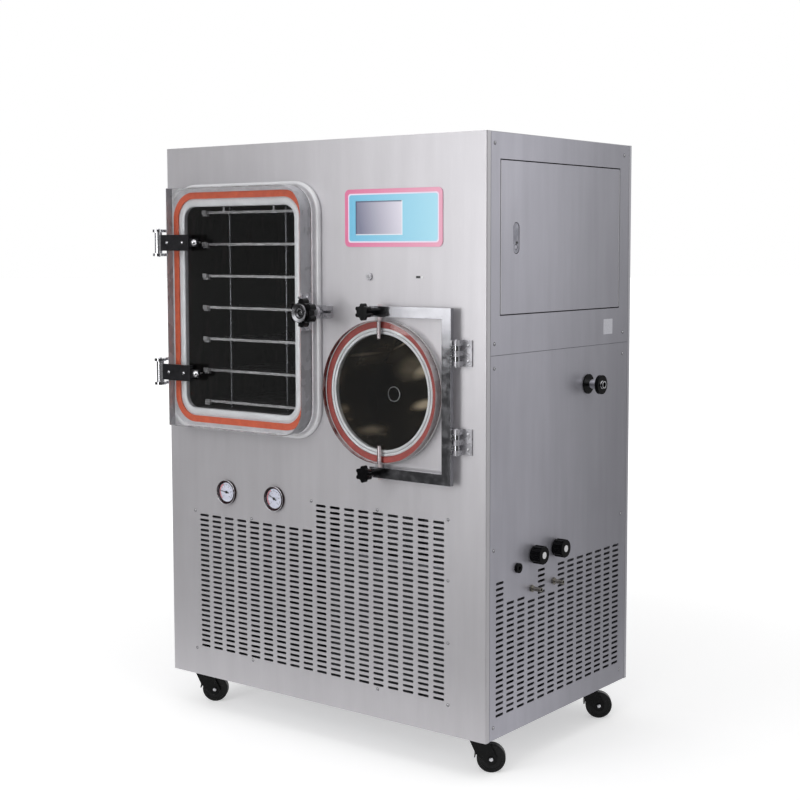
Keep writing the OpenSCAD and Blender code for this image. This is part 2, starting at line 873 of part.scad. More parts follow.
// Moving side of one door hinge: a knuckle, a flat arm and a narrow tongue
module hinge_arm(z) {
    end_x = hinge_x + arm_l;
    difference() {
        union() {
            rod_z(hinge_x, hinge_y, hinge_pin_d / 2 + 6, z - knuckle_h / 2, z + knuckle_h / 2);
            block([hinge_x, door_front - arm_t, z - arm_h / 2], [end_x, door_front, z + arm_h / 2]);
            block([end_x - 1, door_front - tongue_t, z - tongue_h / 2],
                  [end_x + tongue_l, door_front, z + tongue_h / 2]);
        }
        rod_z(hinge_x, hinge_y, hinge_pin_d / 2 + run_fit, z - bracket_h, z + bracket_h);
        rod_y(dome_x, z, dome_bolt_d / 2 + run_fit, door_front - arm_t, door_front + 1);
        for (x = arm_screw_xs)
            rod_y(x, z, arm_screw_d / 2 + run_fit, door_front - arm_t - 1, door_front + 1);
    }
}

module hinge_arms() {
    color(BLACK) place() for (z = hinge_zs) hinge_arm(z);
}

// A bolt with a washer and a domed head, entering towards +Z from z = 0
module dome_bolt(d, head_r, head_h, l) {
    translate([0, 0, -2]) cylinder(r = head_r + 2, h = 2);
    translate([0, 0, -2]) mirror([0, 0, 1]) dome(head_r, head_h);
    cylinder(d = d, h = l);
}

module arm_bolts() {
    color(CHROME) place() {
        for (z = hinge_zs) {
            translate([dome_x, door_front - tongue_t, z]) rotate([-90, 0, 0])
                dome_bolt(dome_bolt_d, 8, 7, tongue_t + bolt_depth);
            for (x = arm_screw_xs)
                translate([x, door_front - arm_t, z]) rotate([-90, 0, 0])
                    dome_bolt(arm_screw_d, 3, 1, arm_t + arm_screw_depth);
        }
        for (s = [-1, 1])
            translate([door_right + clamp_plate_t, (door_front + door_back) / 2,
                       chamber_z + s * clamp_screw_dz])
                rotate([0, -90, 0]) dome_bolt(clamp_screw_d, 5, 2.5, clamp_screw_l + clamp_plate_t);
    }
}

// Plate on the door's edge with the ear that carries the clamp screw
module clamp_bracket() {
    x0 = door_right;
    x1 = door_right + clamp_plate_t;
    color(CHROME) place() difference() {
        union() {
            block([x0, door_front, chamber_z - clamp_plate_h / 2],
                  [x1, door_back - 4, chamber_z + clamp_plate_h / 2]);
            block([x0, door_front, chamber_z - clamp_ear_h / 2],
                  [clamp_x, door_front + clamp_ear_t, chamber_z + clamp_ear_h / 2]);
            rod_y(clamp_x, chamber_z, clamp_ear_h / 2, door_front, door_front + clamp_ear_t);
        }
        rod_y(clamp_x, chamber_z, clamp_d / 2 + run_fit, door_front - 1,
              door_front + clamp_ear_t + 1);
        for (s = [-1, 1])
            rod_x((door_front + door_back) / 2, chamber_z + s * clamp_screw_dz,
                  clamp_screw_d / 2 + run_fit, x0 - 1, x1 + 1);
    }
}

// Block on the cabinet that takes the end of the clamp screw, slotted towards the right
module clamp_keeper() {
    color(CHROME) place() difference() {
        along_y(-keeper_t, 0) translate([clamp_x + 1, chamber_z])
            rounded(keeper_w, keeper_h, 3);
        rod_y(clamp_x, chamber_z, clamp_d / 2 + seat_fit, -keeper_t - 1, -keeper_t + keeper_hole);
        block([clamp_x, -keeper_t - 1, chamber_z - 3.5],
              [clamp_x + keeper_w, -keeper_t + keeper_hole, chamber_z + 3.5]);
    }
}

// Screw with a sleeve before the ear and a retaining ring behind it
module clamp_screw() {
    ring_y = door_front + clamp_ear_t + face_gap;
    color(CHROME) place() {
        rod_y(clamp_x, chamber_z, clamp_d / 2, -knob_front + 4, clamp_tip);
        rod_y(clamp_x, chamber_z, clamp_d / 2 + 3, ring_y, ring_y + 2);
        rod_y(clamp_x, chamber_z, clamp_d / 2 + 6, knob_back, sleeve_back);
    }
}

// Star knob with a raised round boss and a recess for the end of its screw
module clamp_knob() {
    color(BLACK) place() difference() {
        union() {
            translate([clamp_x, knob_back, chamber_z]) rotate([90, 0, 0])
                linear_extrude(star_t - 6) star(star_d, 6);
            rod_y(clamp_x, chamber_z, 26, -knob_front, knob_back);
        }
        rod_y(clamp_x, chamber_z, 11, -knob_front - 1, -knob_front + 4);
        rod_y(clamp_x, chamber_z, clamp_d / 2 + run_fit, -knob_front - 1, knob_back + 1);
    }
}

// ---- Cold trap -----------------------------------------------------------------------------

module trap_drum() {
    color(STEEL) place() difference() {
        union() {
            rod_y(trap_x, trap_z, trap_r + trap_wall, 0, trap_depth + trap_wall);
            rod_y(trap_x, trap_z, disc_r, -trap_flange_t, 0);
            for (s = [-1, 1]) {
                block([clamp_line - boss_r, -trap_flange_t, trap_z + min(s * 0.85 * disc_r, s * clamp_dz)],
                      [clamp_line + boss_r, 0, trap_z + max(s * 0.85 * disc_r, s * clamp_dz)]);
                rod_y(clamp_line, trap_z + s * clamp_dz, boss_r, -boss_l, 0);
            }
        }
        difference() {
            rod_y(trap_x, trap_z, trap_r, -trap_flange_t - 1, trap_depth);
            rod_y(trap_x + duct_dx, trap_z + duct_dz, duct_r - duct_wall,
                  trap_depth - duct_collar, trap_depth);
        }
        rod_y(trap_x + duct_dx, trap_z + duct_dz, duct_r - 2 * duct_wall,
              trap_depth - duct_collar - 1, trap_depth + trap_wall + 1);
        along_y(-trap_flange_t - 1, -trap_flange_t + groove) translate([trap_x, trap_z]) difference() {
            circle(trap_r + trap_gasket_in + trap_gasket_w + 0.2);
            circle(trap_r + trap_gasket_in - 0.2);
        }
        for (s = [-1, 1])
            rod_y(clamp_line, trap_z + s * clamp_dz, stud_d / 2 + seat_fit, -boss_l - 1, -3);
    }
}

module trap_gasket() {
    color(SILICONE) place()
        along_y(-trap_flange_t - gasket_proud, -trap_flange_t + groove)
            translate([trap_x, trap_z]) difference() {
                circle(trap_r + trap_gasket_in + trap_gasket_w);
                circle(trap_r + trap_gasket_in);
            }
}

// Clear disc with a blind hole at the top and the bottom for its pivot screws
module trap_disc() {
    color(CLEAR) place() difference() {
        rod_y(trap_x, trap_z, disc_r, disc_front, disc_back);
        rod_z(trap_x, disc_mid, pivot_sleeve_d / 2 + run_fit,
              trap_z + disc_r - pivot_hole_l, trap_z + disc_r + 1);
        rod_z(trap_x, disc_mid, pivot_sleeve_d / 2 + run_fit,
              trap_z - disc_r - 1, trap_z - disc_r + pivot_hole_l);
    }
}

// Three bars around the disc: top, hinge side and bottom
module trap_frame() {
    left = clamp_line - bar_w / 2;
    color(CHROME) place() difference() {
        along_y(bar_front, bar_back) difference() {
            translate([left, trap_z - frame_out]) square([frame_right - left, 2 * frame_out]);
            translate([left - 1, trap_z - frame_in])
                square([frame_right - bar_w - left + 1, 2 * frame_in]);
        }
        rod_z(trap_x, disc_mid, pivot_d / 2 + run_fit, trap_z - frame_out - 1, trap_z + frame_out + 1);
        for (s = [-1, 1])
            rod_y(clamp_line, trap_z + s * clamp_dz, stud_d / 2 + run_fit, bar_front - 1, bar_back + 1);
    }
}

module trap_pivots() {
    color(CHROME) place() for (s = [0, 1])
        translate([trap_x, disc_mid, trap_z]) mirror([0, 0, s]) {
            rod_z(0, 0, pivot_sleeve_d / 2, disc_r - pivot_in, frame_in);
            rod_z(0, 0, pivot_d / 2, frame_in - 1, frame_out + 1);
            translate([0, 0, frame_out]) cylinder(r = pivot_d / 2 + 3, h = 5, $fn = 6);
        }
}

// Lower and upper end of knuckle i of a trap hinge at z
function knuckle_z0(z, i) = z - trap_hinge_l / 2 + i * trap_hinge_l / knuckle_n;
function knuckle_z1(z, i) = knuckle_z0(z, i + 1) - face_gap;

// Cabinet side of the trap's hinges: a leaf on the front panel and the odd knuckles
module trap_hinge_leaves() {
    color(CHROME) place() for (z = trap_hinge_zs) difference() {
        union() {
            block([trap_axis_x - 4, -leaf_t, z - trap_hinge_l / 2],
                  [trap_axis_x - 4 + leaf_w, 0, z + trap_hinge_l / 2 - face_gap]);
            for (i = [0:2:knuckle_n - 1]) {
                rod_z(trap_axis_x, trap_axis_y, trap_knuckle_r, knuckle_z0(z, i), knuckle_z1(z, i));
                block([trap_axis_x + 1, trap_axis_y, knuckle_z0(z, i)],
                      [trap_axis_x + trap_knuckle_r, 0, knuckle_z1(z, i)]);
            }
        }
        rod_z(trap_axis_x, trap_axis_y, trap_pin_d / 2 + run_fit, z - trap_hinge_l, z + trap_hinge_l);
    }
}

// Door side of the trap's hinges: a plate on the frame's edge and the even knuckles
module trap_hinge_straps() {
    color(CHROME) place() for (z = trap_hinge_zs) difference() {
        union() {
            block([frame_right, bar_front, z - trap_hinge_l / 2],
                  [frame_right + 4, bar_back, z + trap_hinge_l / 2 - face_gap]);
            for (i = [1:2:knuckle_n - 1]) {
                rod_z(trap_axis_x, trap_axis_y, trap_knuckle_r, knuckle_z0(z, i), knuckle_z1(z, i));
                block([frame_right, trap_axis_y - 3, knuckle_z0(z, i)],
                      [trap_axis_x, trap_axis_y + 3, knuckle_z1(z, i)]);
            }
        }
        rod_z(trap_axis_x, trap_axis_y, trap_pin_d / 2 + run_fit, z - trap_hinge_l, z + trap_hinge_l);
    }
}

// Moulded star knob with a long collar and its stud, at height z
module trap_knob(z) {
    collar_back = bar_front - face_gap;
    star_back = collar_back - collar_l;
    color(BLACK) place() {
        rod_y(clamp_line, z, stud_d / 2, collar_back - 1, stud_tip);
        rod_y(clamp_line, z, collar_r, star_back - 1, collar_back);
        translate([clamp_line, star_back, z]) rotate([90, 0, 0])
            linear_extrude(small_star_t) star(small_star_d, 6);
    }
}

module trap_knob_upper() {
    trap_knob(trap_z + clamp_dz);
}

module trap_knob_lower() {
    trap_knob(trap_z - clamp_dz);
}

// Bent tube from the chamber's right wall to the back of the trap
module duct_path(r, d) {
    x0 = chamber_x + mouth_w / 2 + chamber_wall;
    x1 = trap_x + duct_dx;
    z = trap_z + duct_dz;
    rod_x(duct_y, z, r, x0 - d, x1);
    rod_y(x1, z, r, trap_depth + trap_wall - d, duct_y);
    translate([x1, duct_y, z]) sphere(r);
}

module vapour_duct() {
    x0 = chamber_x + mouth_w / 2 + chamber_wall;
    color(STEEL) place() difference() {
        union() {
            duct_path(duct_r, 0);
            rod_x(duct_y, trap_z + duct_dz, duct_r + 10, x0, x0 + 6);
            rod_y(trap_x + duct_dx, trap_z + duct_dz, duct_r + 10,
                  trap_depth + trap_wall, trap_depth + trap_wall + 6);
        }
        duct_path(duct_r - duct_wall, 1);
    }
}

// ---- Machine compartment -------------------------------------------------------------------

// Fin block with its end plates, and the shroud that leads the air to the fan
module condenser() {
    x0 = condenser_x - condenser_w / 2;
    y1 = condenser_y + condenser_t;
    color(DARK_STEEL) place() {
        difference() {
            block([x0, condenser_y, sheet], [x0 + condenser_w, y1 + shroud_l, sheet + condenser_h]);
            block([x0 + shroud_t, y1, sheet + shroud_t],
                  [x0 + condenser_w - shroud_t, y1 + shroud_l - shroud_t,
                   sheet + condenser_h - shroud_t]);
            rod_y(condenser_x, condenser_z, fan_d / 2 + 6, y1 + 1, y1 + shroud_l + 1);
        }
    }
}

// Motor on a cross of flat bars behind the shroud
module fan_motor() {
    bar_y = condenser_y + condenser_t + shroud_l;
    color(BLACK) place() {
        rod_y(condenser_x, condenser_z, motor_r, motor_y, motor_y + motor_l);
        rod_y(condenser_x, condenser_z, fan_shaft_d / 2, fan_y - fan_hub_l / 2, motor_y + 1);
        for (s = [-1, 1]) {
            block([condenser_x - condenser_w / 2, motor_y + 10, condenser_z + s * 30 - 8],
                  [condenser_x + condenser_w / 2, motor_y + 14, condenser_z + s * 30 + 8]);
            block([condenser_x + s * (condenser_w / 2 - 10) - 10, bar_y, condenser_z - 40],
                  [condenser_x + s * (condenser_w / 2 - 10) + 10, motor_y + 14, condenser_z + 40]);
        }
    }
}

module fan_blades() {
    color(BLACK) place() translate([condenser_x, fan_y, condenser_z]) difference() {
        union() {
            rod_y(0, 0, fan_hub_r, -fan_hub_l / 2, fan_hub_l / 2);
            for (i = [0:fan_blade_n - 1])
                rotate([0, i * 360 / fan_blade_n, 0]) rotate([28, 0, 0])
                    translate([fan_hub_r - 6, -1.5, -30]) cube([fan_d / 2 - fan_hub_r + 2, 3, 60]);
        }
        rod_y(0, 0, fan_shaft_d / 2 + run_fit, -fan_hub_l, fan_hub_l);
    }
}

// Hermetic compressor: a domed shell on a foot plate
module compressor() {
    r = compressor_d / 2;
    color(BLACK) place() translate([compressor_x, compressor_y, sheet]) {
        for (sx = [-1, 1], sy = [-1, 1]) translate([sx * 80, sy * 60, 0]) cylinder(r = 14, h = 16);
        translate([-100, -80, 15]) cube([200, 160, 5]);
        translate([0, 0, 19]) cylinder(r = r, h = compressor_h - 59);
        translate([0, 0, compressor_h - 41]) dome(r, 55);
        translate([r - 4, 0, 150]) rotate([0, 90, 0]) cylinder(r = 9, h = 30);
    }
}

// ---- Controls ------------------------------------------------------------------------------

module hmi_bezel() {
    color([0.45, 0.72, 0.85]) place() along_y(-hmi_t, 0) difference() {
        translate([hmi_x, hmi_z]) rounded(hmi_w, hmi_h, 14);
        translate([screen_x, hmi_z]) square([screen_w, screen_h], center = true);
    }
}

module lcd_screen() {
    color([0.75, 0.75, 0.82]) place() {
        along_y(-hmi_t + 0.8, 0) translate([screen_x, hmi_z])
            square([screen_w - 0.4, screen_h - 0.4], center = true);
        along_y(-0.5, screen_t) translate([screen_x, hmi_z])
            square([screen_w - 9, screen_h - 9], center = true);
    }
}

module key_lock() {
    color(CHROME) place() difference() {
        union() {
            rod_y(lock_x, lock_z, lock_d / 2, -lock_proud, 0);
            rod_y(lock_x, lock_z, lock_body_r, -1, lock_l);
        }
        rod_y(lock_x, lock_z, barrel_d / 2 + run_fit, -lock_proud - 1, lock_l - 4);
    }
}

// Turning barrel with the slot for its key
module key_barrel() {
    color(DARK_STEEL) place() difference() {
        rod_y(lock_x, lock_z, barrel_d / 2, -lock_proud - 0.6, lock_l - 4 - face_gap);
        translate([lock_x - 0.9, -lock_proud - 2, lock_z - 3.6]) cube([1.8, 12, 7.2]);
    }
}

module gauge_cases() {
    color(BLACK) place() for (x = gauge_xs) {
        difference() {
            union() {
                rod_y(x, gauge_z, gauge_d / 2, -gauge_proud, 0);
                rod_y(x, gauge_z, gauge_body_r, -1, 30);
            }
            rod_y(x, gauge_z, gauge_d / 2 - 4.5, -gauge_proud - 1, dial_y);
        }
        rod_y(x, gauge_z, spindle_d / 2, dial_y - 4, dial_y + 1);
    }
}

// Pointer of gauge i, at its resting angle
module needle(i) {
    y0 = dial_y - 2.6;
    color(BLACK) place() translate([gauge_xs[i], 0, gauge_z]) rotate([0, -needle_angles[i], 0])
        difference() {
            union() {
                rod_y(0, 0, 4, y0, y0 + 1.6);
                along_y(y0 + 0.4, y0 + 1.2)
                    polygon([[-9, -1.6], [needle_l, -0.5], [needle_l, 0.5], [-9, 1.6]]);
            }
            rod_y(0, 0, spindle_d / 2 + run_fit, y0 - 1, y0 + 3);
        }
}

module needle_left() {
    needle(0);
}

module needle_right() {
    needle(1);
}

// ---- Right side ----------------------------------------------------------------------------

module access_door() {
    x0 = body_w - sheet;
    tray_x = body_w - latch_tray;
    color(STEEL) place() difference() {
        union() {
            along_x(x0, body_w) translate([access_y, access_z]) square([access_w, access_h]);
            along_x(tray_x - 2, body_w) translate([latch_y, latch_z]) rotate(90)
                slot(latch_l, latch_w);
            for (s = [-1, 1])
                along_x(x0 - 12, x0 + 1) translate([access_y + 20, access_z + access_h / 2
                    + s * (access_h / 2 - 11) - 1])
                    square([access_w - 60, 2]);
            for (z = access_hinge_zs) {
                rod_z(access_axis_x, access_axis_y, access_knuckle_r,
                      z - access_knuckle_l / 2 + face_gap, z + access_knuckle_l / 2 - face_gap);
                block([access_axis_x, access_axis_y - 12, z - access_knuckle_l / 2 + face_gap],
                      [x0 + 1, access_axis_y, z + access_knuckle_l / 2 - face_gap]);
            }
        }
        along_x(tray_x, body_w + 1) translate([latch_y, latch_z]) rotate(90)
            slot(latch_l - 6, latch_w - 6);
        rod_y(body_w - 4, latch_pin_z, latch_pin_d / 2 + run_fit,
              latch_y - latch_pin_l / 2 - 0.5, latch_y + latch_pin_l / 2 + 0.5);
        for (z = access_hinge_zs)
            rod_z(access_axis_x, access_axis_y, access_pin_d / 2 + run_fit, z - 40, z + 40);
    }
    color(STEEL) place()
        rod_x(latch_y, latch_button_z, latch_button_r, tray_x, body_w - 1.5);
}

// Fixed half of the access door's hinges, bent around the swing of the door's edge
module access_hinges() {
    far = access_y + access_w + access_gap;
    x0 = body_w - sheet;
    color(CHROME) place() for (z = access_hinge_zs, s = [-1, 1])
        translate([0, 0, z + s * access_knuckle_l - access_knuckle_l / 2])
            difference() {
                union() {
                    cut_z(access_knuckle_l) circle_at(access_axis_x, access_axis_y, access_knuckle_r);
                    cut_z(access_knuckle_l) polygon([
                        [access_axis_x, access_axis_y - access_knuckle_r],
                        [access_axis_x, access_axis_y + access_knuckle_r],
                        [access_axis_x - 9, access_axis_y + access_knuckle_r],
                        [access_axis_x - 9, far + 4], [x0 - 2, far + 4], [x0 - 2, far + 1],
                        [x0, far + 1], [x0, far + 21], [x0 - 2, far + 21], [x0 - 2, far + 8],
                        [access_axis_x - 13, far + 8],
                        [access_axis_x - 13, access_axis_y - access_knuckle_r]
                    ]);
                }
                rod_z(access_axis_x, access_axis_y, access_pin_d / 2 + run_fit,
                      -1, access_knuckle_l + 1);
            }
}

// A flat shape seen from above, made solid from z = 0 to h
module cut_z(h) {
    linear_extrude(h) children();
}

module circle_at(x, y, r) {
    translate([x, y]) circle(r);
}

// Flush pull handle that turns out of its tray on a cross pin
module access_latch() {
    w = latch_w - 6 - 2 * latch_gap;
    l = latch_l - 6 - 2 * latch_gap;
    color(CHROME) place() {
        along_x(body_w - 5, body_w - 1) translate([latch_y, latch_z]) rotate(90) difference() {
            slot(l, w);
            translate([latch_button_z - latch_z, 0]) circle(latch_button_r + 1.5);
        }
        rod_y(body_w - 4, latch_pin_z, latch_pin_d / 2,
              latch_y - latch_pin_l / 2, latch_y + latch_pin_l / 2);
    }
}

// Stepped tube through the lower panel
module vacuum_port() {
    x1 = body_w + port_reach - port_nose;
    color(CHROME) place() difference() {
        union() {
            rod_x(port_y, port_z, port_d / 2, body_w - port_inside, x1 - port_disc_t);
            rod_x(port_y, port_z, port_seat_r, body_w - port_inside, x1);
            rod_x(port_y, port_z, port_nose_r, body_w - port_inside, body_w + port_reach);
            rod_x(port_y, port_z, port_d / 2 + 8, body_w - sheet - 5, body_w - sheet);
        }
        rod_x(port_y, port_z, port_bore / 2, body_w - port_inside - 1, body_w + port_reach + 1);
    }
}

module port_rings() {
    x1 = body_w + port_reach - port_nose;
    color(BLACK) place() {
        difference() {
            rod_x(port_y, port_z, port_collar_r, body_w, body_w + 4);
            rod_x(port_y, port_z, port_d / 2 + run_fit, body_w - 1, body_w + 5);
        }
        difference() {
            rod_x(port_y, port_z, port_disc_r, x1 - port_disc_t, x1);
            rod_x(port_y, port_z, port_seat_r + run_fit, x1 - port_disc_t - 1, x1 + 1);
        }
    }
}

// Drain valve at y: a block inside the panel, a bonnet with its spindle, and a hose spigot
module valve_body(y) {
    inner = body_w - sheet;
    spigot_y = y + spigot_dy;
    difference() {
        union() {
            block([inner - 4 - valve_block_t, spigot_y - 13, spigot_z - 14],
                  [inner - 4, y + 14, valve_z + 14]);
            rod_x(y, valve_z, bonnet_r, inner - 5, body_w + 3);
            rod_x(y, valve_z, valve_spindle_d / 2, body_w + 2, body_w + 3 + valve_knob_l - 4);
            rod_x(spigot_y, spigot_z, spigot_d / 2, inner - 5, body_w + nut_t + spigot_l);
            translate([body_w, spigot_y, spigot_z]) rotate([0, 90, 0])
                cylinder(r = nut_r, h = nut_t, $fn = 6);
        }
        rod_x(spigot_y, spigot_z, spigot_d / 2 - 2, inner - 14, body_w + nut_t + spigot_l + 1);
    }
}

module valve_bodies() {
    color(NICKEL) place() for (y = valve_ys) valve_body(y);
}

// Fluted handwheel of the drain valve at y
module valve_knob(y) {
    x0 = body_w + 3 + face_gap;
    r = valve_knob_d / 2;
    color(BLACK) place() difference() {
        union() {
            rod_x(y, valve_z, r - 2, x0, x0 + valve_knob_l);
            for (i = [0:11])
                rod_x(y + (r - 4) * cos(i * 30), valve_z + (r - 4) * sin(i * 30), 4,
                      x0 + 4, x0 + valve_knob_l - 3);
        }
        rod_x(y, valve_z, valve_spindle_d / 2 + run_fit, x0 - 1, x0 + valve_knob_l - 4);
    }
}

module valve_knob_front() {
    valve_knob(valve_ys[0]);
}

module valve_knob_rear() {
    valve_knob(valve_ys[1]);
}

module cable_gland() {
    inner = body_w - sheet;
    color(BLACK) place() difference() {
        union() {
            rod_x(gland_y, gland_z, gland_r - 3, inner - 14, body_w + 1);
            rod_x(gland_y, gland_z, gland_r, body_w, body_w + 8);
            translate([inner - 6, gland_y, gland_z]) rotate([0, 90, 0])
                cylinder(r = gland_r + 2, h = 6, $fn = 6);
        }
        rod_x(gland_y, gland_z, gland_bore_r, inner - 15, body_w + 9);
    }
}

// ---- Casters -------------------------------------------------------------------------------

// Top plates with their king pins, each pin ending in a flat head under the fork's crown
module caster_mounts() {
    head_z = crown_top - crown_t - face_gap;
    color(DARK_STEEL) place() for (p = caster_xy) translate([p[0], p[1], 0]) {
        translate([-40, -32, crown_top + face_gap]) cube([80, 64, -crown_top - face_gap]);
        rod_z(0, 0, king_d / 2, head_z - 1, crown_top + 1);
        rod_z(0, 0, king_d / 2 + 4, head_z - 3, head_z);
    }
}

// Side plate of a fork, seen along the axle
module fork_leg() {
    translate([caster_trail, axle_z]) circle(16);
    polygon([
        [-24, crown_top - crown_t + 4], [24, crown_top - crown_t + 4],
        [caster_trail + 15.6, axle_z + 4], [caster_trail, axle_z],
        [caster_trail - 12, axle_z - 10.6], [-6, axle_z + 14]
    ]);
}

// Fork i: crown, two legs, a curved fender over the wheel, and the axle
module caster_fork(i) {
    fender_r = wheel_r + fender_gap;
    color(BLACK) place() translate([caster_xy[i][0], caster_xy[i][1], 0]) rotate(caster_turn)
        difference() {
            union() {
                rod_z(0, 0, 25, crown_top - crown_t, crown_top);
                translate([-24, -leg_y - leg_t, crown_top - crown_t]) cube([48, 2 * (leg_y + leg_t), 4]);
                for (s = [-1, 1]) translate([0, s * (leg_y + leg_t / 2), 0])
                    along_y(-leg_t / 2, leg_t / 2) fork_leg();
                along_y(-leg_y - 1, leg_y + 1) intersection() {
                    translate([caster_trail, axle_z]) difference() {
                        circle(fender_r + fender_t);
                        circle(fender_r);
                    }
                    polygon([[caster_trail, axle_z], [-30, axle_z + 5], [-30, 0], [20, 0]]);
                }
                rod_y(caster_trail, axle_z, axle_d / 2, -leg_y - leg_t - 2, leg_y + leg_t + 2);
                for (s = [-1, 1])
                    rod_y(caster_trail, axle_z, axle_d / 2 + 3.5,
                          s * (leg_y + leg_t + 1.5) - 1.5, s * (leg_y + leg_t + 1.5) + 1.5);
            }
            rod_z(0, 0, king_d / 2 + run_fit, crown_top - crown_t - 1, 1);
        }
}

// Wheel i with a recessed face on both sides
module caster_wheel(i) {
    color(BLACK) place() translate([caster_xy[i][0], caster_xy[i][1], 0]) rotate(caster_turn)
        translate([caster_trail, 0, axle_z]) rotate([90, 0, 0]) difference() {
            rotate_extrude() difference() {
                union() {
                    translate([0, -wheel_w / 2 + 3]) square([wheel_r, wheel_w - 6]);
                    translate([0, -wheel_w / 2]) square([wheel_r - 3, wheel_w]);
                    for (s = [-1, 1])
                        translate([wheel_r - 3, s * (wheel_w / 2 - 3)]) circle(3);
                }
                translate([-10, -wheel_w]) square([10, 2 * wheel_w]);
            }
            for (s = [0, 1]) mirror([0, 0, s]) translate([0, 0, wheel_w / 2 - 2]) difference() {
                cylinder(r = wheel_r - 8, h = 3);
                translate([0, 0, -1]) cylinder(r = axle_d / 2 + 7, h = 5);
            }
            cylinder(r = axle_d / 2 + run_fit, h = 2 * wheel_w, center = true);
        }
}

module caster_fork_fl() {
    caster_fork(0);
}

module caster_fork_fr() {
    caster_fork(1);
}

module caster_fork_rl() {
    caster_fork(2);
}

module caster_fork_rr() {
    caster_fork(3);
}

module caster_wheel_fl() {
    caster_wheel(0);
}

module caster_wheel_fr() {
    caster_wheel(1);
}

module caster_wheel_rl() {
    caster_wheel(2);
}

module caster_wheel_rr() {
    caster_wheel(3);
}

// ---- Which node to draw --------------------------------------------------------------------

front_panel();
cover_plates();
left_panel();
right_upper_panel();
right_lower_panel();
rear_panel();
chassis();
panel_screws();
drying_chamber();
chamber_gasket();
drying_door();
hinge_brackets();
hinge_pins();
hinge_arms();
arm_bolts();
clamp_bracket();
clamp_keeper();
clamp_screw();
clamp_knob();
shelves();
shelf_posts();
trap_drum();
trap_gasket();
trap_disc();
trap_frame();
trap_pivots();
trap_hinge_leaves();
trap_hinge_straps();
trap_knob_upper();
trap_knob_lower();
vapour_duct();
condenser();
fan_motor();
fan_blades();
compressor();
hmi_bezel();
lcd_screen();
key_lock();
key_barrel();
gauge_cases();
needle_left();
needle_right();
access_door();
access_hinges();
access_latch();
vacuum_port();
port_rings();
valve_bodies();
valve_knob_front();
valve_knob_rear();
cable_gland();
caster_mounts();
caster_fork_fl();
caster_fork_fr();
caster_fork_rl();
caster_fork_rr();
caster_wheel_fl();
caster_wheel_fr();
caster_wheel_rl();
caster_wheel_rr();
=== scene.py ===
import json
import math

import bmesh
import bpy
from mathutils import Matrix, Vector


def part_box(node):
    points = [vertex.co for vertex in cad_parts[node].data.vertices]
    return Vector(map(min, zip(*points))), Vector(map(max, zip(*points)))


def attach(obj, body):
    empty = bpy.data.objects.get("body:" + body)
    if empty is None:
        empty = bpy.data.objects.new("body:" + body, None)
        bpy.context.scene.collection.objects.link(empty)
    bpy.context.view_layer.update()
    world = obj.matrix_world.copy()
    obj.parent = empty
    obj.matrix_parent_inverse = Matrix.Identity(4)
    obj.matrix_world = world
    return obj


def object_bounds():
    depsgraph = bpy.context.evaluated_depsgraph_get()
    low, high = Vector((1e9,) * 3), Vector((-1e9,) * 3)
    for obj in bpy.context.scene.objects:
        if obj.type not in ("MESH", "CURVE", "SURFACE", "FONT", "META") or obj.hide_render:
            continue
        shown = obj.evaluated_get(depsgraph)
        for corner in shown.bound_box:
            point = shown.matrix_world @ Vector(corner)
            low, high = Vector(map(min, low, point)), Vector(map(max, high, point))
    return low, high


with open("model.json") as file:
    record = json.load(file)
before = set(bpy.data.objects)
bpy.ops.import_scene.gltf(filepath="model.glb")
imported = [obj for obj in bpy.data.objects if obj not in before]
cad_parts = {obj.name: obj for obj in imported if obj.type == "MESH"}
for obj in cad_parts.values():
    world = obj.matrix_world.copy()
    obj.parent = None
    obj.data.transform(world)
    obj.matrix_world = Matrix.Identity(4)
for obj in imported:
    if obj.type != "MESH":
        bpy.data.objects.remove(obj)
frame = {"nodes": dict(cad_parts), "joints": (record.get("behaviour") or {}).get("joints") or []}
cad_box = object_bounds()
nodes = frame["nodes"]
joints = {j["name"]: j for j in frame["joints"]}

FRONT = -0.30715  # outer face of the front panel
SIDE = 0.5348  # outer face of the right side panels
OUT, BACK, RIGHT, UP = (0, -1, 0), (0, 1, 0), (1, 0, 0), (0, 0, 1)  # OUT is out of the front
WHITE, BLACK = (1.0, 1.0, 1.0, 1.0), (0.0, 0.0, 0.0, 1.0)

AMBIENT = 0.60  # brightness of the surround as it lights the object
ROOM = 0.06  # brightness of the dim room as metal and acrylic mirror it
BESIDE = 0.40  # brightness of the floor at the right as they mirror it
THROUGH = 0.13  # how much of the dimming is left out where it is seen through acrylic


def srgb(r, g, b):
    """A colour given as 0-255 display values, in linear light."""
    def one(v):
        v = v / 255
        return v / 12.92 if v <= 0.04045 else ((v + 0.055) / 1.055) ** 2.4
    return (one(r), one(g), one(b), 1.0)


def centre(node):
    low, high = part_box(node)
    return (low + high) / 2


def anchor(joint):
    return Vector(joints[joint]["pos_m"])


# ---- Shader building blocks ---------------------------------------------------------------

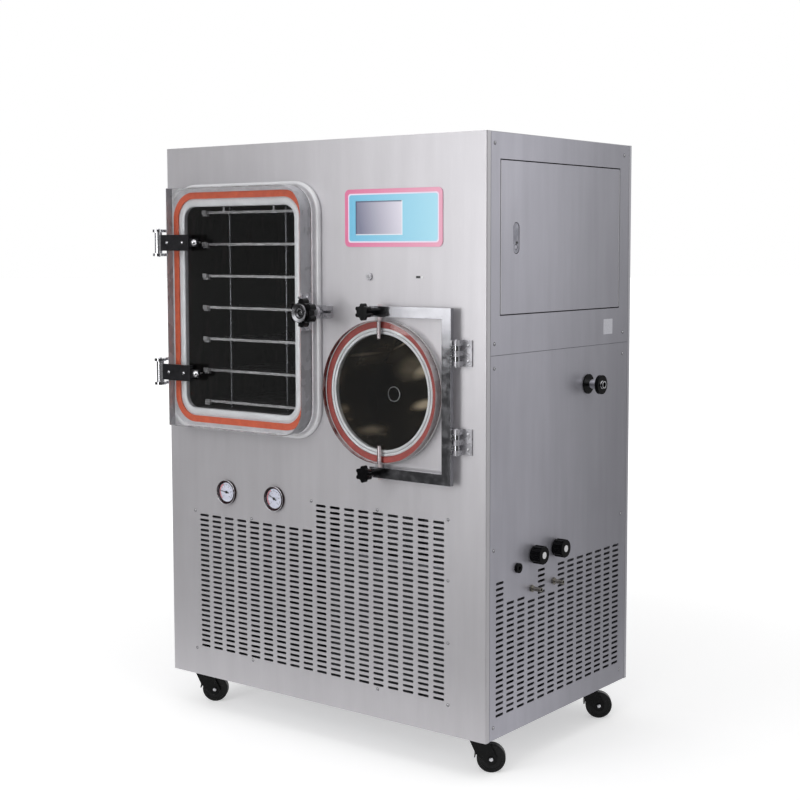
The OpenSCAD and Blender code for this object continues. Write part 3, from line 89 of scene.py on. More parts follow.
class Graph:
    """A shader tree built with short calls. A value is a number, a colour or a node's output."""

    def __init__(self, tree):
        self.tree = tree
        tree.nodes.clear()

    def add(self, kind):
        return self.tree.nodes.new("ShaderNode" + kind)

    def put(self, socket, value):
        if isinstance(value, bpy.types.NodeSocket):
            self.tree.links.new(value, socket)
        else:
            socket.default_value = value

    def axes(self, vector):
        split = self.add("SeparateXYZ")
        self.put(split.inputs[0], vector)
        return split.outputs

    def length(self, vector):
        n = self.add("VectorMath")
        n.operation = "LENGTH"
        self.put(n.inputs[0], vector)
        return n.outputs["Value"]

    def calc(self, op, a, b=0.0, clamp=False):
        n = self.add("Math")
        n.operation = op
        n.use_clamp = clamp
        self.put(n.inputs[0], a)
        self.put(n.inputs[1], b)
        return n.outputs[0]

    def spread(self, value, a, b, low=0.0, high=1.0, smooth=False):
        """Low where value is a, high where it is b, and held at that outside a and b."""
        n = self.add("MapRange")
        n.interpolation_type = "SMOOTHSTEP" if smooth else "LINEAR"
        for i, v in enumerate((value, a, b, low, high)):
            self.put(n.inputs[i], v)
        return n.outputs[0]

    def white(self, kind, strength):
        """Plain white Emission or Background."""
        n = self.add(kind)
        n.inputs[0].default_value = WHITE
        self.put(n.inputs[1], strength)
        return n.outputs[0]

    def mix(self, share, a, b):
        """Shader a where share is 0, and b where it is 1."""
        n = self.add("MixShader")
        for i, v in enumerate((share, a, b)):
            self.put(n.inputs[i], v)
        return n.outputs[0]


class Shader(Graph):
    """A node material. Coordinates are metres in the row frame."""

    def __init__(self, name):
        self.mat = bpy.data.materials.new(name)
        self.mat.use_nodes = True
        super().__init__(self.mat.node_tree)
        self.out = self.add("OutputMaterial")
        self.where = self.add("TexCoord").outputs["Object"]

    def axis(self, i):
        return self.axes(self.where)[i]

    def mapped(self, scale):
        place = self.add("Mapping")
        self.put(place.inputs["Vector"], self.where)
        place.inputs["Scale"].default_value = scale
        return place

    def noise(self, size, detail=3.0, squeeze=(1, 1, 1)):
        """Noise whose features are about size metres wide, stretched by squeeze."""
        n = self.add("TexNoise")
        self.put(n.inputs["Vector"], self.mapped([1 / (size * s) for s in squeeze]).outputs[0])
        n.inputs["Scale"].default_value = 1.0
        n.inputs["Detail"].default_value = detail
        n.inputs["Roughness"].default_value = 0.55
        return n.outputs[0]

    def usual(self, noise, low=0.0, high=1.0):
        """The range in which most of a noise lies, as low to high."""
        return self.spread(noise, 0.3, 0.7, low, high)

    def blend(self, share, a, b):
        """Colour a where share is 0, and b where it is 1."""
        n = self.add("Mix")
        n.data_type = "RGBA"
        for i, v in ((0, share), (6, a), (7, b)):
            self.put(n.inputs[i], v)
        return n.outputs[2]

    def glow(self, at, size, turn):
        """1 in the middle of an ellipsoid and 0 at its edge; turn is in degrees about Y."""
        place = self.mapped(size)
        place.vector_type = "TEXTURE"
        place.inputs["Location"].default_value = at
        place.inputs["Rotation"].default_value = (0, math.radians(turn), 0)
        return self.spread(self.length(place.outputs[0]), 1.0, 0.1, 0.0, 1.0, True)

    def bump(self, height, depth, strength):
        """Normal of a surface that height makes uneven; depth is in metres."""
        n = self.add("Bump")
        n.inputs["Strength"].default_value = strength
        n.inputs["Distance"].default_value = depth
        self.put(n.inputs["Height"], height)
        return n.outputs[0]

    def surface(self, colour, rough, metal=0.0, normal=None, **more):
        n = self.add("BsdfPrincipled")
        self.put(n.inputs["Base Color"], colour)
        self.put(n.inputs["Roughness"], rough)
        self.put(n.inputs["Metallic"], metal)
        if normal is not None:
            self.put(n.inputs["Normal"], normal)
        for key, value in more.items():
            self.put(n.inputs[key.replace("_", " ")], value)
        self.show(n.outputs[0])
        return n.outputs[0]

    def show(self, shader):
        self.put(self.out.inputs["Surface"], shader)


def brushed(name, dark, light, metal, painted_fade=None):
    """Sheet steel brushed upwards: fine hairlines over soft broad streaks and a few stains.
    The last argument, if given, is (y, y, share): painted shade, in which the tone falls to
    share between the first y and the second."""
    s = Shader(name)
    hair = s.noise(0.0009, 3.0, (1, 1, 40))
    soft = s.noise(0.035, 2.0, (1, 1, 12))
    cloud = s.noise(0.22, 3.0, (1, 1, 1.6))
    mixed = s.calc("ADD", s.calc("MULTIPLY", hair, 0.25), s.calc("MULTIPLY", soft, 0.35))
    mixed = s.calc("ADD", mixed, s.calc("MULTIPLY", cloud, 0.40))
    colour = s.blend(s.usual(mixed), dark, light)
    if painted_fade:
        start, end, share = painted_fade
        # painted shade: the colour darkens towards the back
        painted_falloff = s.spread(s.axis(1), start, end, 0.0, 1.0 - share, True)
        colour = s.blend(painted_falloff, colour, BLACK)
    s.surface(colour, s.usual(hair, 0.30, 0.42), metal, s.bump(hair, 0.00002, 0.5))
    return s.mat


def polished(name, dark, light, rough=(0.05, 0.14), metal=1.0, depth=0.00001, size=0.02):
    """Bright metal with faint swirls, a slightly uneven surface and softly broken edges."""
    s = Shader(name)
    smear = s.noise(size, 2.0)
    waves = s.noise(size * 0.4, 1.0)
    broken = s.add("Bevel")
    broken.samples = 4
    broken.inputs["Radius"].default_value = 0.0009
    bumped = s.bump(waves, depth, 0.4)
    s.put(bumped.node.inputs["Normal"], broken.outputs[0])
    s.surface(s.blend(s.usual(smear), dark, light),
              s.spread(smear, 0.35, 0.65, rough[0], rough[1]), metal, bumped)
    return s.mat


def moulded(name, dark, light, rough=(0.16, 0.30), grain=0.0006, depth=0.00003, shine=0.28):
    """Moulded or painted black part: slight colour drift, fine grain, rubbed patches."""
    s = Shader(name)
    drift = s.noise(0.010, 3.0)
    fine = s.noise(grain, 2.0)
    s.surface(s.blend(s.usual(drift), dark, light),
              s.usual(drift, rough[0], rough[1]), 0.0, s.bump(fine, depth, 0.5),
              Specular_IOR_Level=shine)
    return s.mat


def silicone(name, dark, light):
    """Cast silicone: matt, faintly mottled, with a trace of talc."""
    s = Shader(name)
    drift = s.noise(0.018, 4.0)
    dust = s.noise(0.0011, 3.0)
    s.surface(s.blend(s.usual(drift), dark, light),
              s.usual(dust, 0.42, 0.62), 0.0, s.bump(dust, 0.00006, 0.6))
    return s.mat


def acrylic(name, tint):
    """Clear cast acrylic, polished, with hardly visible wear. It lets lamp light through."""
    s = Shader(name)
    haze = s.noise(0.02, 4.0)
    glass = s.surface(tint, s.spread(haze, 0.45, 0.75, 0.0, 0.03), 0.0, IOR=1.49,
                      Transmission_Weight=1.0)
    clear = s.add("BsdfTransparent")
    clear.inputs[0].default_value = tint
    s.show(s.mix(s.add("LightPath").outputs["Is Shadow Ray"], glass, clear.outputs[0]))
    return s.mat


# ---- Mesh building blocks -----------------------------------------------------------------

def into_scene(name, data):
    obj = bpy.data.objects.new(name, data)
    bpy.context.scene.collection.objects.link(obj)
    return obj


def piece(name, bm, material, body):
    """Turns a bmesh into a smooth-shaded object that rides on a CAD body."""
    bmesh.ops.remove_doubles(bm, verts=bm.verts, dist=1e-7)
    bmesh.ops.recalc_face_normals(bm, faces=bm.faces)
    for e in bm.edges:
        e.smooth = len(e.link_faces) == 2 and e.calc_face_angle(math.pi) < math.radians(35)
    for f in bm.faces:
        f.smooth = True
    mesh = bpy.data.meshes.new(name)
    bm.to_mesh(mesh)
    bm.free()
    mesh.materials.append(material)
    obj = into_scene(name, mesh)
    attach(obj, body)


def basis(direction):
    """A direction's unit vector, and two more at right angles to it."""
    d = Vector(direction).normalized()
    u = d.orthogonal().normalized()
    if abs(d.z) < 0.9:
        u = Vector(UP).cross(d).normalized()
    return d, u, d.cross(u)


def lathe(bm, at, direction, profile, steps, closed=False):
    """A turned solid: profile lists (distance along direction, radius) in metres. Radius 0 ends
    it in a point; closed joins the last step back to the first, for a ring."""
    d, u, v = basis(direction)
    at = Vector(at)
    rings = []
    for along, radius in profile:
        mid = at + d * along
        if radius == 0:
            rings.append([bm.verts.new(mid)])
        else:
            rings.append([bm.verts.new(mid + (u * math.cos(a) + v * math.sin(a)) * radius)
                          for a in (2 * math.pi * i / steps for i in range(steps))])
    for a, b in zip(rings, rings[1:] + rings[:1] if closed else rings[1:]):
        for i in range(steps):
            j = (i + 1) % steps
            if len(a) == 1:
                bm.faces.new((a[0], b[i], b[j]))
            elif len(b) == 1:
                bm.faces.new((a[i], a[j], b[0]))
            else:
                bm.faces.new((a[i], a[j], b[j], b[i]))


def oval(along, radius, deep, wide, steps):
    """Profile of a ring for lathe: an oval of half sizes deep and wide about its middle."""
    return [(along + deep * math.sin(t), radius + wide * math.cos(t))
            for t in (2 * math.pi * k / steps for k in range(steps))]


def slab(bm, outline, u, v, at, low, high, direction):
    """A flat plate: outline in (u, v) metres about at, from low to high along direction."""
    at, u, v, d = Vector(at), Vector(u), Vector(v), Vector(direction)
    a = [bm.verts.new(at + u * p + v * q + d * low) for p, q in outline]
    b = [bm.verts.new(at + u * p + v * q + d * high) for p, q in outline]
    bm.faces.new(a)
    bm.faces.new(list(reversed(b)))
    for i in range(len(a)):
        j = (i + 1) % len(a)
        bm.faces.new((a[i], b[i], b[j], a[j]))


def box(bm, low, high):
    slab(bm, [(low[0], low[1]), (high[0], low[1]), (high[0], high[1]), (low[0], high[1])],
         RIGHT, BACK, (0, 0, 0), low[2], high[2], UP)


def rounded_outline(w, h, r, steps):
    """Corner-rounded rectangle about its middle, as (p, q) points, from the upper right corner
    on anticlockwise. Each corner has steps + 1 points."""
    points = []
    for cx, cy, start in ((1, 1, 0), (-1, 1, 90), (-1, -1, 180), (1, -1, 270)):
        for i in range(steps + 1):
            a = math.radians(start + 90 * i / steps)
            points.append((cx * (w / 2 - r) + r * math.cos(a), cy * (h / 2 - r) + r * math.sin(a)))
    return points


def bead(bm, outline, at, y, radius, steps, flat=1.0):
    """A moulding that follows an outline in the XZ plane, its depth being flat x its width."""
    n = len(outline)
    rings = []
    for i, (p, q) in enumerate(outline):
        before, after = outline[i - 1], outline[(i + 1) % n]
        along = Vector((after[0] - before[0], 0, after[1] - before[1])).normalized()
        side = Vector(BACK).cross(along)
        mid = Vector((at[0] + p, y, at[2] + q))
        rings.append([bm.verts.new(mid + (side * math.cos(a)
                                          + Vector((0, flat, 0)) * math.sin(a)) * radius)
                      for a in (2 * math.pi * k / steps for k in range(steps))])
    for i in range(n):
        a, b = rings[i], rings[(i + 1) % n]
        for k in range(steps):
            m = (k + 1) % steps
            bm.faces.new((a[k], a[m], b[m], b[k]))


# ---- Materials ----------------------------------------------------------------------------

def overlay_material():
    """Printed film of the control panel: pink edge, white line, pale blue field."""
    s = Shader("control_overlay")
    low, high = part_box("hmi_bezel")
    mid = (low + high) / 2
    half_w, half_h = (high.x - low.x) / 2, (high.z - low.z) / 2
    x = s.calc("ABSOLUTE", s.calc("SUBTRACT", s.axis(0), mid.x))
    z = s.calc("ABSOLUTE", s.calc("SUBTRACT", s.axis(2), mid.z))

    def inside(margin, r):
        """1 inside the rounded rectangle that lies margin metres within the film's edge."""
        px = s.calc("MAXIMUM", s.calc("SUBTRACT", x, half_w - margin - r), 0.0)
        pz = s.calc("MAXIMUM", s.calc("SUBTRACT", z, half_h - margin - r), 0.0)
        far = s.calc("SQRT", s.calc("ADD", s.calc("MULTIPLY", px, px), s.calc("MULTIPLY", pz, pz)))
        return s.spread(far, r - 0.0003, r + 0.0003, 1.0, 0.0)

    # both colours lighten from left to right across the film
    across = s.spread(s.axis(0), low.x, high.x)
    pink = s.blend(across, srgb(222, 118, 158), srgb(236, 168, 192))
    blue = s.blend(across, srgb(112, 190, 224), srgb(172, 226, 244))
    colour = s.blend(inside(0.011, 0.008), pink, srgb(238, 226, 244))
    colour = s.blend(inside(0.0145, 0.007), colour, blue)
    grain = s.noise(0.0005, 2.0)
    s.surface(colour, s.usual(grain, 0.24, 0.34), 0.0, s.bump(grain, 0.00001, 0.4))
    return s.mat


def screen_material():
    """Display glass with a painted grey sheen that brightens to the right, painted shade at its
    left and upper edges and a painted highlight along the right and lower ones."""
    s = Shader("touch_screen")
    low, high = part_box("lcd_screen")
    across = s.spread(s.axis(0), low.x, high.x)
    up = s.spread(s.axis(2), low.z, high.z)
    # painted shade along the left and upper edges
    left = s.spread(s.axis(0), low.x, low.x + 0.006, 0.0, 1.0, True)
    top = s.spread(s.axis(2), high.z, high.z - 0.005, 0.0, 1.0, True)
    # painted sheen, lighter to the right and a little upwards
    tone = s.calc("ADD", s.calc("MULTIPLY", across, 0.85), s.calc("MULTIPLY", up, 0.10))
    field = s.blend(s.spread(tone, 0.1, 0.95), srgb(128, 130, 152), srgb(228, 224, 236))
    edge = s.calc("MULTIPLY", left, top)
    colour = s.blend(edge, srgb(84, 92, 118), field)
    # painted highlights along the right and lower edges
    right = s.spread(s.axis(0), high.x - 0.004, high.x - 0.002)
    foot = s.spread(s.axis(2), low.z + 0.003, low.z + 0.0015)
    colour = s.blend(s.calc("MAXIMUM", right, foot), colour, srgb(240, 244, 250))
    dots = s.noise(0.0004, 1.0)
    s.surface(colour, s.usual(dots, 0.16, 0.22), 0.0, s.bump(dots, 0.000005, 0.3))
    return s.mat


def vessel(name, node, rim, deep, painted_streak, far, rough, size, squeeze, painted_reflections=()):
    """Satin flange outside; inside, a dark mirror in painted shade with soft streaks of painted
    reflection that fades with depth into deeper painted shade, and a few pale glows of painted
    reflection, each given as (offset from the node's middle, size, turn, share)."""
    s = Shader(name)
    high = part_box(node)[1]
    mid = centre(node)
    y = s.axis(1)
    inside = s.spread(y, FRONT - 0.00135, FRONT + 0.00365)
    # painted shade, deeper towards the back of the vessel
    depth = s.spread(y, FRONT + 0.00715, high.y, 0.0, 1.0, True)
    lines = s.noise(size, 2.0, squeeze)
    smear = s.noise(0.014, 2.0)
    outer = s.blend(s.usual(smear), rim[0], rim[1])
    spare = 0.12 if painted_reflections else 0.0  # fewer streaks where there are glows
    # inside: the deep and far colours are painted shade, the streak colour is painted reflection
    inner = s.blend(s.spread(lines, 0.50 + spare, 0.72 + spare), deep, painted_streak)
    inner = s.blend(depth, inner, s.blend(s.spread(lines, 0.55 + spare, 0.75 + spare), far, painted_streak))
    metal = s.spread(inside, 0.0, 1.0, 0.25, 0.75)
    shine = 0.0
    # pale patches of painted reflection, with less metal where they lie
    for at, extent, turn, share in painted_reflections:
        one = s.calc("MULTIPLY", s.glow(mid + Vector(at), extent, turn), share)
        one = s.calc("MULTIPLY", one, s.spread(lines, 0.3, 0.6, 0.8, 1.0))
        shine = s.calc("MAXIMUM", shine, one)
    inner = s.blend(shine, inner, painted_streak)
    metal = s.calc("MULTIPLY", metal, s.calc("SUBTRACT", 1.0, s.calc("MULTIPLY", shine, inside)))
    s.surface(s.blend(inside, outer, inner), s.usual(smear, rough[0], rough[1]),
              metal, s.bump(lines, 0.00003, 0.3))
    return s.mat


# Painted reflections inside the trap drum, as pale patches.
TRAP_PAINTED_REFLECTIONS = (  # offset from the drum's middle, size, turn in degrees, share
    ((-0.119, 0.0, 0.088), (0.022, 0.12, 0.0095), 0, 0.75),
    ((-0.084, 0.10, 0.109), (0.055, 0.04, 0.0062), -26, 0.80),
    ((-0.119, 0.04, 0.088), (0.12, 0.15, 0.070), 0, 0.30),
    ((-0.050, 0.10, 0.050), (0.100, 0.10, 0.055), -12, 0.42),
    ((-0.012, 0.10, 0.044), (0.070, 0.10, 0.030), -24, 0.85),
    ((-0.010, 0.10, -0.050), (0.060, 0.10, 0.020), -14, 0.95),
    ((-0.091, -0.008, -0.116), (0.065, 0.10, 0.0105), 22, 0.70),
    ((-0.142, -0.08, -0.053), (0.008, 0.04, 0.026), 0, 0.50),
)


def disc_edge_material():
    """Turned edge of the trap disc, frosted pale, with a painted reflection of the seal behind it
    as broken red bands.
    """
    s = Shader("disc_edge")
    low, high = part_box("trap_disc")
    across = s.spread(s.axis(0), low.x, high.x - 0.12)  # 0.12 m from the right, no band is left
    broken = s.noise(0.045, 2.0)
    share = s.calc("ADD", across, s.spread(broken, 0.45, 0.60, -0.25, 0.45), True)
    # painted reflection of the seal: dark red bands at the left, fading to the pale frosted edge at
    # the right
    s.surface(s.blend(share, srgb(118, 52, 48), srgb(216, 206, 208)),
              s.usual(broken, 0.16, 0.26), 0.15)
    return s.mat


def shelf_material():
    """Shelf plates: bright folded front edges, a painted highlight, and dull, dark tops, painted
    shade.
    """
    s = Shader("shelf_steel")
    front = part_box("shelves")[0].y + 0.006  # the folded edge ends here
    y = s.axis(1)
    hair = s.noise(0.0015, 2.0, (30, 1, 1))
    edge = s.blend(s.usual(hair), srgb(164, 162, 164), srgb(206, 205, 207))
    top = s.blend(s.usual(hair), srgb(52, 50, 52), srgb(78, 76, 78))
    # painted highlight on the front edges, painted shade on the tops
    s.surface(s.blend(s.spread(y, front + 0.001, front + 0.004), edge, top),
              s.usual(hair, 0.18, 0.3), 0.6, s.bump(hair, 0.00001, 0.3))
    return s.mat


def hinge_material():
    """Black door arms whose round knuckles at the pins are bright chrome."""
    s = Shader("black_hinge")
    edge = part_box("hinge_arms")[0].x + 0.026  # the knuckles end here
    black = s.spread(s.axis(0), edge, edge + 0.0006)
    drift = s.noise(0.010, 3.0)
    fine = s.noise(0.0006, 2.0)
    paint = s.blend(s.usual(drift), srgb(22, 22, 24), srgb(34, 34, 37))
    s.surface(s.blend(black, srgb(214, 214, 218), paint),
              s.spread(black, 0.0, 1.0, 0.10, s.usual(drift, 0.28, 0.42)),
              s.spread(black, 0.0, 1.0, 0.85, 0.0), s.bump(fine, 0.00003, 0.4),
              Specular_IOR_Level=0.28)
    return s.mat


def dial_material():
    """Printed gauge face, pale and slightly aged."""
    s = Shader("gauge_dial")
    aged = s.noise(0.01, 3.0)
    s.surface(s.blend(s.usual(aged), srgb(214, 218, 230), srgb(226, 228, 238)), 0.5,
              0.0, s.bump(s.noise(0.0006, 2.0), 0.00001, 0.3))
    return s.mat


def plain(name, colour, rough=0.5, metal=0.0):
    """A small printed or inserted detail, with a slight drift of colour."""
    s = Shader(name)
    drift = s.noise(0.004, 2.0)
    shade = [c * 0.85 for c in colour[:3]] + [1.0]
    s.surface(s.blend(s.usual(drift), shade, colour),
              s.usual(drift, rough * 0.85, min(1.0, rough * 1.15)), metal)
    return s.mat


def galvanised(name):
    """Zinc-coated sheet with its grain of crystals, 1/70 m wide."""
    s = Shader(name)
    cells = s.add("TexVoronoi")
    s.put(cells.inputs["Vector"], s.mapped((70, 70, 70)).outputs[0])
    cells.inputs["Scale"].default_value = 1.0
    flake = cells.outputs["Distance"]
    s.surface(s.blend(flake, srgb(110, 112, 118), srgb(146, 148, 154)),
              s.spread(flake, 0.0, 0.8, 0.38, 0.6), 0.9, s.bump(flake, 0.00004, 0.3))
    return s.mat


# Every material, under a short name.
M = {
    "front": brushed("front_steel", srgb(194, 192, 196), srgb(208, 206, 210), 0.5),
    # side panels: painted shade that darkens them towards the back
    "side": brushed("side_steel", srgb(178, 177, 187), srgb(200, 199, 209), 0.6,
                    painted_fade=(-0.26, 0.42, 0.60)),
    "shell": brushed("shell_steel", srgb(170, 170, 176), srgb(184, 184, 190), 0.6),
    "frame": galvanised("galvanised_frame"),
    # Insides of the chamber and the drum: dark colours of painted shade, streak colours of painted
    # reflection.
    "chamber": vessel("chamber_steel", "drying_chamber",
                      (srgb(196, 195, 200), srgb(208, 207, 212)), srgb(19, 15, 16),
                      srgb(52, 42, 44), srgb(10, 8, 10), (0.32, 0.44), 0.012, (1, 3, 14)),
    "drum": vessel("trap_steel", "trap_drum", (srgb(196, 195, 196), srgb(212, 211, 212)),
                   srgb(60, 50, 38), srgb(214, 196, 168), srgb(44, 38, 28), (0.08, 0.16),
                   0.022, (4.5, 3, 1), TRAP_PAINTED_REFLECTIONS),
    "satin": polished("satin_fittings", srgb(176, 175, 180), srgb(196, 195, 200), (0.22, 0.34),
                      0.55),
    "rim": polished("mouth_rim", srgb(212, 212, 215), srgb(222, 222, 225), (0.34, 0.42), 0.15,
                    0.000002, 0.05),
    "edge": polished("sawn_edge", srgb(186, 185, 190), srgb(206, 205, 210), (0.24, 0.34), 0.12,
                     size=0.05),
    "disc_edge": disc_edge_material(),
    "pin": polished("pivot_pins", srgb(206, 192, 196), srgb(224, 212, 216), (0.2, 0.3), 0.2),
    "post": polished("shelf_posts", srgb(78, 78, 82), srgb(96, 96, 100), (0.2, 0.3), size=0.2),
    "tube": polished("duct_steel", srgb(170, 168, 164), srgb(196, 194, 190)),
    "shelf": shelf_material(),
    "block": polished("shelf_blocks", srgb(142, 140, 142), srgb(176, 175, 177), (0.12, 0.2), 0.3,
                      0.000002, 0.05),
    "chrome": polished("chrome_fittings", srgb(206, 206, 210), srgb(226, 226, 230), (0.03, 0.10)),
    "bright": polished("polished_frame", srgb(172, 172, 177), srgb(188, 188, 193), (0.10, 0.18)),
    "screw": polished("screw_steel", srgb(196, 196, 200), srgb(220, 220, 224), (0.12, 0.22), 0.6),
    "stud": polished("stud_steel", srgb(120, 120, 124), srgb(160, 160, 164), (0.15, 0.3)),
    "latch": polished("latch_steel", srgb(128, 128, 138), srgb(172, 172, 182), (0.18, 0.30), 0.6),
    "label": plain("bare_label", srgb(212, 212, 220), 0.5),
    "nickel": polished("nickel_fittings", srgb(136, 132, 124), srgb(166, 162, 153), (0.12, 0.25)),
    "gasket": silicone("chamber_silicone", srgb(196, 78, 44), srgb(214, 92, 54)),
    "gasket2": silicone("trap_silicone", srgb(144, 48, 42), srgb(170, 66, 58)),
    "acrylic": acrylic("clear_acrylic", (0.965, 0.975, 0.975, 1.0)),
    "glass": acrylic("gauge_glass", (0.98, 0.98, 1.0, 1.0)),
    "hinge": hinge_material(),
    "knob": moulded("black_knob", srgb(8, 8, 9), srgb(16, 16, 18), (0.08, 0.16)),
    "ring": moulded("black_rings", srgb(8, 8, 9), srgb(15, 15, 17), (0.12, 0.22), shine=0.08),
    "paint": moulded("machine_paint", srgb(30, 30, 33), srgb(46, 46, 50), (0.35, 0.5), 0.002,
                     0.0001),
    "fan": moulded("fan_plastic", srgb(36, 36, 39), srgb(50, 50, 54), (0.5, 0.65)),
    "overlay": overlay_material(),
    "screen": screen_material(),
    # gauge bezels: black, with a maroon tint of painted reflection
    "gauge": moulded("gauge_black", srgb(30, 12, 16), srgb(44, 18, 24), (0.14, 0.24)),
    "dial": dial_material(),
    "print": plain("dial_print", srgb(34, 34, 42), 0.6),
    "red": plain("dial_red", srgb(224, 122, 128), 0.5),
    "needle": plain("needle_black", srgb(18, 18, 20), 0.35),
    "caster": moulded("caster_hood", srgb(8, 8, 9), srgb(15, 15, 16), (0.14, 0.24), shine=0.16),
    "tread": moulded("caster_tread", srgb(9, 9, 10), srgb(18, 18, 19), (0.24, 0.38), 0.0012,
                     0.00008),
    "dark": plain("socket_black", srgb(12, 12, 14), 0.4),
    # dark washers: painted shade around the screw heads
    "washer": polished("washer_steel", srgb(60, 60, 64), srgb(96, 96, 100), (0.2, 0.35)),
    "white": plain("white_plastic", srgb(236, 236, 238), 0.4),
    "fins": plain("fin_aluminium", srgb(150, 152, 156), 0.45, 0.8),
}

# The CAD nodes that wear each material.
WEARS = {
    "front": ["front_panel"],
    "side": ["right_upper_panel", "right_lower_panel", "access_door"],
    "shell": ["cover_plates", "left_panel", "rear_panel"],
    "frame": ["chassis", "condenser"],
    "chamber": ["drying_chamber"],
    "drum": ["trap_drum"],
    "tube": ["vapour_duct"],
    "shelf": ["shelves"],
    "post": ["shelf_posts"],
    "satin": ["clamp_bracket", "clamp_keeper", "trap_hinge_leaves", "key_lock"],
    "pin": ["trap_pivots"],
    "chrome": ["hinge_brackets", "hinge_pins", "arm_bolts", "clamp_screw", "trap_hinge_straps",
               "access_hinges", "vacuum_port", "caster_mounts"],
    "bright": ["trap_frame"],
    "screw": ["panel_screws", "key_barrel"],
    "latch": ["access_latch"],
    "nickel": ["valve_bodies"],
    "gasket": ["chamber_gasket"],
    "gasket2": ["trap_gasket"],
    "acrylic": ["drying_door", "trap_disc"],
    "hinge": ["hinge_arms"],
    "knob": ["clamp_knob", "trap_knob_upper", "trap_knob_lower"],
    "ring": ["valve_knob_front", "valve_knob_rear", "port_rings", "cable_gland"],
    "paint": ["fan_motor", "compressor"],
    "fan": ["fan_blades"],
    "overlay": ["hmi_bezel"],
    "screen": ["lcd_screen"],
    "gauge": ["gauge_cases"],
    "needle": ["needle_left", "needle_right"],
    "caster": ["caster_fork_fl", "caster_fork_fr", "caster_fork_rl", "caster_fork_rr"],
    "tread": ["caster_wheel_fl", "caster_wheel_fr", "caster_wheel_rl", "caster_wheel_rr"],
}


def dress_nodes():
    for key, names in WEARS.items():
        for name in names:
            mesh = nodes[name].data
            mesh.materials.clear()
            mesh.materials.append(M[key])


# ---- Pieces that the looks add -------------------------------------------------------------

def camera():
    """The camera that took the photograph, as matched to it."""
    data = bpy.data.cameras.new("photo_camera")
    cam = into_scene("photo_camera", data)
    bpy.context.scene.camera = cam
    yaw, pitch, roll = math.radians(37.34), math.radians(-4.83), math.radians(-0.10)
    ahead = Vector((-math.sin(yaw) * math.cos(pitch), math.cos(yaw) * math.cos(pitch),
                    math.sin(pitch)))
    right = Vector((math.cos(yaw), math.sin(yaw), 0))
    up = right.cross(ahead)
    right, up = (right * math.cos(roll) + up * math.sin(roll),
                 up * math.cos(roll) - right * math.sin(roll))
    turn = Matrix((right, up, -ahead)).transposed().to_4x4()
    at = Vector((2.5547, -3.28025, 1.348))
    cam.matrix_world = Matrix.Translation(at) @ turn
    data.lens = 65.86
    data.sensor_width = 36.0
    data.shift_x = -0.0083
    data.shift_y = -0.0371
    data.clip_end = 100.0


LAMPS = (  # name, place, what it points at, size, watts
    ("key", (-1.05, -3.5, 1.95), (-0.2, -0.3, 1.1), (2.2, 2.2), 30),
    ("strip", (-0.75, -3.6, 0.75), (0.3, -0.3, 0.7), (0.8, 1.4), 16),
    ("top", (0.9, -0.6, 4.2), (0.1, 0.0, 0.9), (2.5, 2.5), 24),
)


def studio():
    """White surround with a dim room on the side the front faces, and soft lamps."""
    scene = bpy.context.scene
    scene.view_settings.view_transform = "Standard"
    scene.world = bpy.data.worlds.new("studio")
    scene.world.use_nodes = True
    g = Graph(scene.world.node_tree)
    path = g.add("LightPath").outputs
    way = g.axes(g.add("TexCoord").outputs["Generated"])  # the ray's direction
    ahead = g.spread(way[1], -0.55, 0.05, 1.0, 0.0, True)  # 1 on the front's side
    low = g.spread(way[2], 0.10, 0.55, 1.0, 0.0, True)  # 1 up to a little above the horizon
    dim = g.calc("MULTIPLY", g.calc("MULTIPLY", ahead, low), 1.0 - ROOM)
    dim = g.calc("MULTIPLY", dim, path["Is Glossy Ray"])
    through = g.calc("MULTIPLY", path["Is Transmission Ray"], THROUGH)
    dim = g.calc("MULTIPLY", dim, g.calc("SUBTRACT", 1.0, through))
    seen = g.calc("MAXIMUM", path["Is Camera Ray"], path["Is Glossy Ray"])
    seen = g.calc("MAXIMUM", seen, path["Is Transmission Ray"])
    shown = g.white("Background", g.calc("SUBTRACT", 1.0, dim))
    shown = g.mix(seen, g.white("Background", AMBIENT), shown)
    g.put(g.add("OutputWorld").inputs[0], shown)
    for name, at, target, size, watts in LAMPS:
        lamp(name, at, target, size, watts)


def lamp(name, at, target, size, watts):
    data = bpy.data.lights.new(name, "AREA")
    data.shape = "RECTANGLE"
    data.size, data.size_y = size
    data.energy = watts
    obj = into_scene(name, data)
    obj.location = at
    obj.rotation_mode = "QUATERNION"
    obj.rotation_quaternion = (Vector(target) - Vector(at)).to_track_quat("-Z", "Y")


